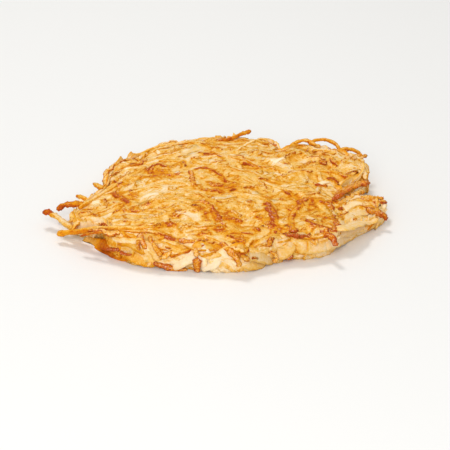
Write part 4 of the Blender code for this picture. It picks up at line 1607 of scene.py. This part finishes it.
class PATTY_OT_side_skin(bpy.types.Operator):
    """Drapes the skin of fused starch over the shreds of the side"""

    bl_idname = "patty.side_skin"
    bl_label = "Side skin"

    def execute(self, context):
        form = patty()
        form.side.fuse(SIDE_WEB_LAYER, SIDE_SKIN_BLUR, SIDE_SKIN_SEAM)
        mesh = mesh_of("side_skin", tube(1, SIDE_SEGMENTS, SIDE_CUTS, caps=False))
        points = coordinates(mesh)
        bearing = np.arctan2(points[:, 1], points[:, 0])
        top = SIDE_TOP * form.rim_height(np.degrees(bearing))
        ring = 1 / (SIDE_CUTS + 1)
        rise = points[:, 2] + 0.5
        turned_under = rise < ring / 2
        height = SIDE_FOOT + np.maximum(0, rise - ring) / (1 - ring) * (top - SIDE_FOOT)
        flat = np.column_stack((bearing * SIDE_RADIUS, height))
        placed = form.side_points(np.column_stack((flat, form.side.skin.at(flat))))
        placed[turned_under, :2] *= SIDE_LIP
        gradient = (2 * height / top - 1) ** 2 - SIDE_GRADIENT_MEAN
        fried = form.side.skin_browning(flat) + SIDE_GRADIENT * gradient
        dress(mesh, placed, {"browning": fried + region_browning(form, placed)}, "fused_starch")
        finish_piece(new_object("side_skin", mesh))
        return {"FINISHED"}


CORE_SEGMENTS = 240
CORE_RINGS = 70
CORE_RING_SPREAD = 1.6  # carries the sphere's rings towards the side, where the core bends most
CORE_INSET = 0.0068  # how far inside the edge it ends
CORE_SIDE_POWER = 5.0  # how square its side is: 2 is round
CORE_SINK = 0.0010  # how far it stays under the crust's skin
CORE_WAIST = 0.42  # where it is widest, as a share of its height
CORE_FOOT = 0.0006
CORE_FLATNESS = 1.35  # how far out its base stays flat
CORE_BROWNING = 0.48


class PATTY_OT_starch_core(bpy.types.Operator):
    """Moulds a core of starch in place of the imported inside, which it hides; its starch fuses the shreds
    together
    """

    bl_idname = "patty.starch_core"
    bl_label = "Starch core"

    def execute(self, context):
        form = patty()
        shape = bmesh.new()
        bmesh.ops.create_uvsphere(shape, u_segments=CORE_SEGMENTS, v_segments=CORE_RINGS, radius=1)
        mesh = mesh_of("starch_core", shape)
        points = coordinates(mesh)
        bearing = np.arctan2(points[:, 1], points[:, 0])
        slope = np.arcsin(np.clip(np.abs(points[:, 2]), 0, 1)) / (np.pi / 2)
        reach = 1 - slope**CORE_RING_SPREAD
        radius = (form.edge_radius(np.degrees(bearing)) - CORE_INSET) * reach
        flat = np.column_stack((radius * np.cos(bearing), radius * np.sin(bearing)))
        fullness = (1 - reach**CORE_SIDE_POWER) ** (1 / CORE_SIDE_POWER)
        top = np.minimum(form.crust.skin.at(flat), form.crust.ceiling.at(flat)) - CORE_SINK
        waist = CORE_WAIST * top
        lower = (CORE_FOOT - waist) * np.minimum(1, CORE_FLATNESS * fullness)
        rise = np.where(points[:, 2] > 0, (top - waist) * fullness, lower)
        points = np.column_stack((flat, waist + rise))
        dress(mesh, points, {"browning": np.full(len(points), CORE_BROWNING)}, "fused_starch")
        piece = finish_piece(new_object("starch_core", mesh))
        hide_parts(NODE)
        return {"FINISHED"}


DRAPES = Sort(
    widths=(2.6, 5.0), flatness=(0.18, 0.32), browning=0.34, uneven=0.14, edge=0.30, tips=0.2,
    roll=0.35, twist=0.8,
)
# Bearings without any, and how wide: the two tips and the front.
DRAPE_FREE = ((-160, 17), (-4, 12), (-85, 62))
DRAPE_SLANT = 11.0  # degrees of bearing that it crosses as it comes down
DRAPE_KNEES = (0.93, 1.0)  # how far out it is where it bends down, as a share of the way to the edge
DRAPE_ENDS = (0.15, 0.65)  # how high its lower end hangs, as a share of the crust's height
# Its course: share of the slant, how far from the knee as a share of the way to the edge, share of the
# crust's height, which for its lower end is drawn.
DRAPE_COURSE = ((-0.5, -0.10, 1.0), (-0.2, -0.04, 1.0), (0.1, 0.0, 0.86))
DRAPE_LAST = (0.5, -0.01)


class PATTY_OT_drapes(bpy.types.Operator):
    """Hangs shreds over the edge of the crust"""

    bl_idname = "patty.drapes"
    bl_label = "Drapes"

    def execute(self, context):
        form = patty()
        draw = form.draw
        shreds = []
        for _ in range(context.scene.patty_counts.drapes):
            width, thickness = girth(draw, DRAPES)
            bearing = draw.uniform(0, 360)
            if any(abs(turn(bearing, middle)) < spread for middle, spread in DRAPE_FREE):
                continue
            line = smooth_route(self.route(form, bearing, thickness))
            shreds.append(finished(draw, DRAPES, line, width, thickness, tone(draw, DRAPES)))
        mesh_shreds("drapes", form, shreds, "fried_potato", ragged=0.10)
        return {"FINISHED"}

    def route(self, form, bearing, thickness):
        """A few points from the crust over the edge and down the side."""
        draw = form.draw
        slant = draw.normal(0, DRAPE_SLANT)
        knee = draw.uniform(*DRAPE_KNEES)
        end = draw.uniform(*DRAPE_ENDS)
        points = []
        for slanted, out, level in (*DRAPE_COURSE, (*DRAPE_LAST, end)):
            here = bearing + slant * slanted
            x, y = polar((knee + out) * form.edge_radius(here), here)
            top = float(form.crust.ceiling.at(np.array((x, y)))) - thickness / 2
            points.append((x, y, level * top))
        return points


STRAY_MOST = 3.0  # the thickest that a stray may be, in millimetres
STRAY = Sort(flatness=(0.6, 0.75), edge=0.16, tips=0.12, roll=0.2, twist=0.8)


class PATTY_OT_strays(bpy.types.Operator):
    """Adds the shreds that stand out from the edge"""

    bl_idname = "patty.strays"
    bl_label = "Stray shreds"

    def execute(self, context):
        form = patty()
        shreds = self.standing(form, STRAYS)
        mesh_shreds("stray_shreds", form, shreds, "fried_potato", rings=24, sides=8)
        shreds = self.standing(form, CRISP_STRAYS)
        uneven = {"ragged": 0.28, "frill": 0.12}
        mesh_shreds("crisp_strays", form, shreds, "crisp_potato", rings=30, sides=10, **uneven)
        return {"FINISHED"}

    def standing(self, form, strays):
        """The shreds along the lines of a table of strays."""
        shreds = []
        for browning, width, points in strays.values():
            line = smooth_route(np.array(points) * MM)
            thickness = min(form.draw.uniform(*STRAY.flatness) * width, STRAY_MOST) * MM
            shreds.append(finished(form.draw, STRAY, line, width * MM, thickness, browning))
        return shreds


# the folds of the side are painted darker, as painted shade where the side lies in shadow
SIDE_FOLD = Sort(flatness=(0.4, 0.5), edge=0.10, tips=0.06, roll=0.05, twist=0.15, painted_shade=0.10)
FOLD_TUCK = 0.0022  # how far its two ends are tucked into the side
FOLD_MOST = 1.6  # the thickest that it may be, in millimetres
HANGER = Sort(flatness=(0.5, 0.6), edge=0.12, tips=0.14, roll=0.1, twist=0.3)
HANGER_STAND = 0.0022
HANGER_TUCK = 0.0010
TUCK_POWER = 4  # how near its ends a shred is tucked in
OUTWARD_RISE = 0.6  # how much the backs of the folds face up


class PATTY_OT_side_folds(bpy.types.Operator):
    """Hangs the shreds and folds that the photograph shows on the side"""

    bl_idname = "patty.side_folds"
    bl_label = "Side folds"

    def execute(self, context):
        form = patty()
        hanging = {"depth_shade": 0.0, "facing": outward}
        shreds = hung(form, SIDE_ROUTES, SIDE_FOLD, FOLD_STAND, FOLD_TUCK)
        mesh_shreds("side_folds", form, shreds, "steamed_potato", rings=24, sides=10, ragged=0.07, **hanging)
        shreds = hung(form, HANGERS, HANGER, HANGER_STAND, HANGER_TUCK)
        mesh_shreds("hanging_shreds", form, shreds, "crisp_potato", rings=20, sides=8, ragged=0.2, **hanging)
        return {"FINISHED"}


def hung(form, routes, sort, stand, tuck):
    """Shreds of one sort along routes in pixels, which stand out of the side but tuck in their ends."""
    tucked = tuck * np.abs(np.linspace(-1, 1, LINE_POINTS)) ** TUCK_POWER
    shreds = []
    for browning, width, pixels in routes:
        line = smooth_route([side_point(form, *pixel, stand) for pixel in pixels])
        line = line - radial(line) * tucked[:, None]
        thickness = min(form.draw.uniform(*sort.flatness) * width, FOLD_MOST) * MM
        shreds.append(finished(form.draw, sort, line, width * MM, thickness, browning))
    return shreds


def outward(points):
    """The direction out of the patty and a little up."""
    return unit(radial(points) + (0, 0, OUTWARD_RISE))


UNDERSIDE = Sort(
    lengths=(20, 45), widths=(3.0, 5.0), flatness=(0.35, 0.5), browning=0.55, uneven=0.12, edge=0.15,
)
UNDERSIDE_REACH = 0.95
UNDERSIDE_DEPTH = 0.0008  # how much higher some of its shreds lie than others


class PATTY_OT_underside(bpy.types.Operator):
    """Fries a layer of shreds to the flat underside"""

    bl_idname = "patty.underside"
    bl_label = "Underside"

    def execute(self, context):
        form = patty()
        draw = form.draw
        shreds = []
        for *_, x, y in scattered(form, context.scene.patty_counts.under, UNDERSIDE_REACH):
            width, thickness = girth(draw, UNDERSIDE)
            length = draw.uniform(*UNDERSIDE.lengths) * MM
            heading = draw.uniform(0, 360)
            curl = draw.normal(0, UNDERSIDE.curl)
            line = wandering(draw, x, y, heading, length, curl, UNDERSIDE.wave)
            line = kept_inside(form, line, UNDERSIDE_REACH)
            height = thickness / 2 + FLOOR_GAP + draw.uniform(0, UNDERSIDE_DEPTH)
            line = np.column_stack((line, np.full(len(line), height)))
            shreds.append(finished(draw, UNDERSIDE, line, width, thickness, tone(draw, UNDERSIDE)))
        mesh_shreds("underside", form, shreds, "fried_potato", depth_shade=0.0)
        return {"FINISHED"}


# Name, place, size in metres and power in watts.
LAMPS = (
    ("key", Vector((-0.3, 0.6, 1.4)), 0.35, 8),
    ("fill", Vector((-0.15, -1.3, 0.8)), 1.0, 13),
)
WORLD_STRENGTH = 0.56
FLOOR_HALF = 4  # metres from its middle to its edge
FLOOR_COLOUR = "EEEDEA"
FLOOR_ROUGHNESS = 0.6


class PATTY_OT_stage(bpy.types.Operator):
    """Sets out the pale floor, the studio light and the camera"""

    bl_idname = "patty.stage"
    bl_label = "Stage"

    def execute(self, context):
        scene = context.scene
        shape = bmesh.new()
        bmesh.ops.create_grid(shape, x_segments=1, y_segments=1, size=FLOOR_HALF)
        mesh = mesh_of("floor", shape)
        floor_material = bpy.data.materials.new("pale_floor")
        floor_material.use_nodes = True
        shader = floor_material.node_tree.nodes["Principled BSDF"]
        shader.inputs["Base Color"].default_value = (*linear(FLOOR_COLOUR), 1)
        shader.inputs["Roughness"].default_value = FLOOR_ROUGHNESS
        mesh.materials.append(floor_material)
        new_object("floor", mesh)
        world = bpy.data.worlds.new("studio")
        world.use_nodes = True
        sky = world.node_tree.nodes["Background"].inputs
        sky["Color"].default_value = (1, 1, 1, 1)
        sky["Strength"].default_value = WORLD_STRENGTH
        scene.world = world
        for name, place, size, power in LAMPS:
            light = bpy.data.lights.new(name, "AREA")
            light.shape = "DISK"
            light.size = size
            light.energy = power
            lamp = new_object(name, light)
            lamp.location = place
            lamp.rotation_euler = (-Vector(place)).to_track_quat("-Z", "Y").to_euler()
        eye, forward, *_ = camera_axes()
        data = bpy.data.cameras.new("camera")
        data.lens = CAMERA_LENS
        data.sensor_width = CAMERA_SENSOR
        camera = new_object("camera", data)
        camera.location = eye
        camera.rotation_euler = forward.to_track_quat("-Z", "Y").to_euler()
        scene.camera = camera
        scene.view_settings.view_transform = "Standard"
        return {"FINISHED"}


class PATTY_PT_panel(bpy.types.Panel):
    """Sizes, counts and colours, and the steps that build the patty"""

    bl_idname = "PATTY_PT_panel"
    bl_label = "Hash browns"
    bl_space_type = "VIEW_3D"
    bl_region_type = "UI"
    bl_category = "Hash browns"

    def draw(self, context):
        for group in (context.scene.patty_sizes, context.scene.patty_counts, context.scene.patty_colours):
            box = self.layout.box()
            for name in group.__annotations__:
                box.prop(group, name)
        for operator in OPERATORS:
            self.layout.operator(operator.bl_idname)


OPERATORS = (
    PATTY_OT_crust_mat,
    PATTY_OT_crisps,
    PATTY_OT_strands,
    PATTY_OT_ridges,
    PATTY_OT_crumbs,
    PATTY_OT_crust_skin,
    PATTY_OT_side_mat,
    PATTY_OT_side_skin,
    PATTY_OT_starch_core,
    PATTY_OT_drapes,
    PATTY_OT_strays,
    PATTY_OT_side_folds,
    PATTY_OT_underside,
    PATTY_OT_stage,
)
CLASSES = (PattySizes, PattyCounts, PattyColours, *OPERATORS, PATTY_PT_panel)


def register():
    for item in CLASSES:
        bpy.utils.register_class(item)
    bpy.types.Scene.patty_sizes = PointerProperty(type=PattySizes)
    bpy.types.Scene.patty_counts = PointerProperty(type=PattyCounts)
    bpy.types.Scene.patty_colours = PointerProperty(type=PattyColours)


def unregister():
    del bpy.types.Scene.patty_colours
    del bpy.types.Scene.patty_counts
    del bpy.types.Scene.patty_sizes
    for item in reversed(CLASSES):
        bpy.utils.unregister_class(item)


def main():
    register()
    bpy.ops.patty.crust_mat()
    bpy.ops.patty.crisps()
    bpy.ops.patty.strands()
    bpy.ops.patty.ridges()
    bpy.ops.patty.crumbs()
    bpy.ops.patty.crust_skin()
    bpy.ops.patty.side_mat()
    bpy.ops.patty.side_skin()
    bpy.ops.patty.starch_core()
    bpy.ops.patty.drapes()
    bpy.ops.patty.strays()
    bpy.ops.patty.side_folds()
    bpy.ops.patty.underside()
    bpy.ops.patty.stage()


if __name__ == "__main__":
    main()
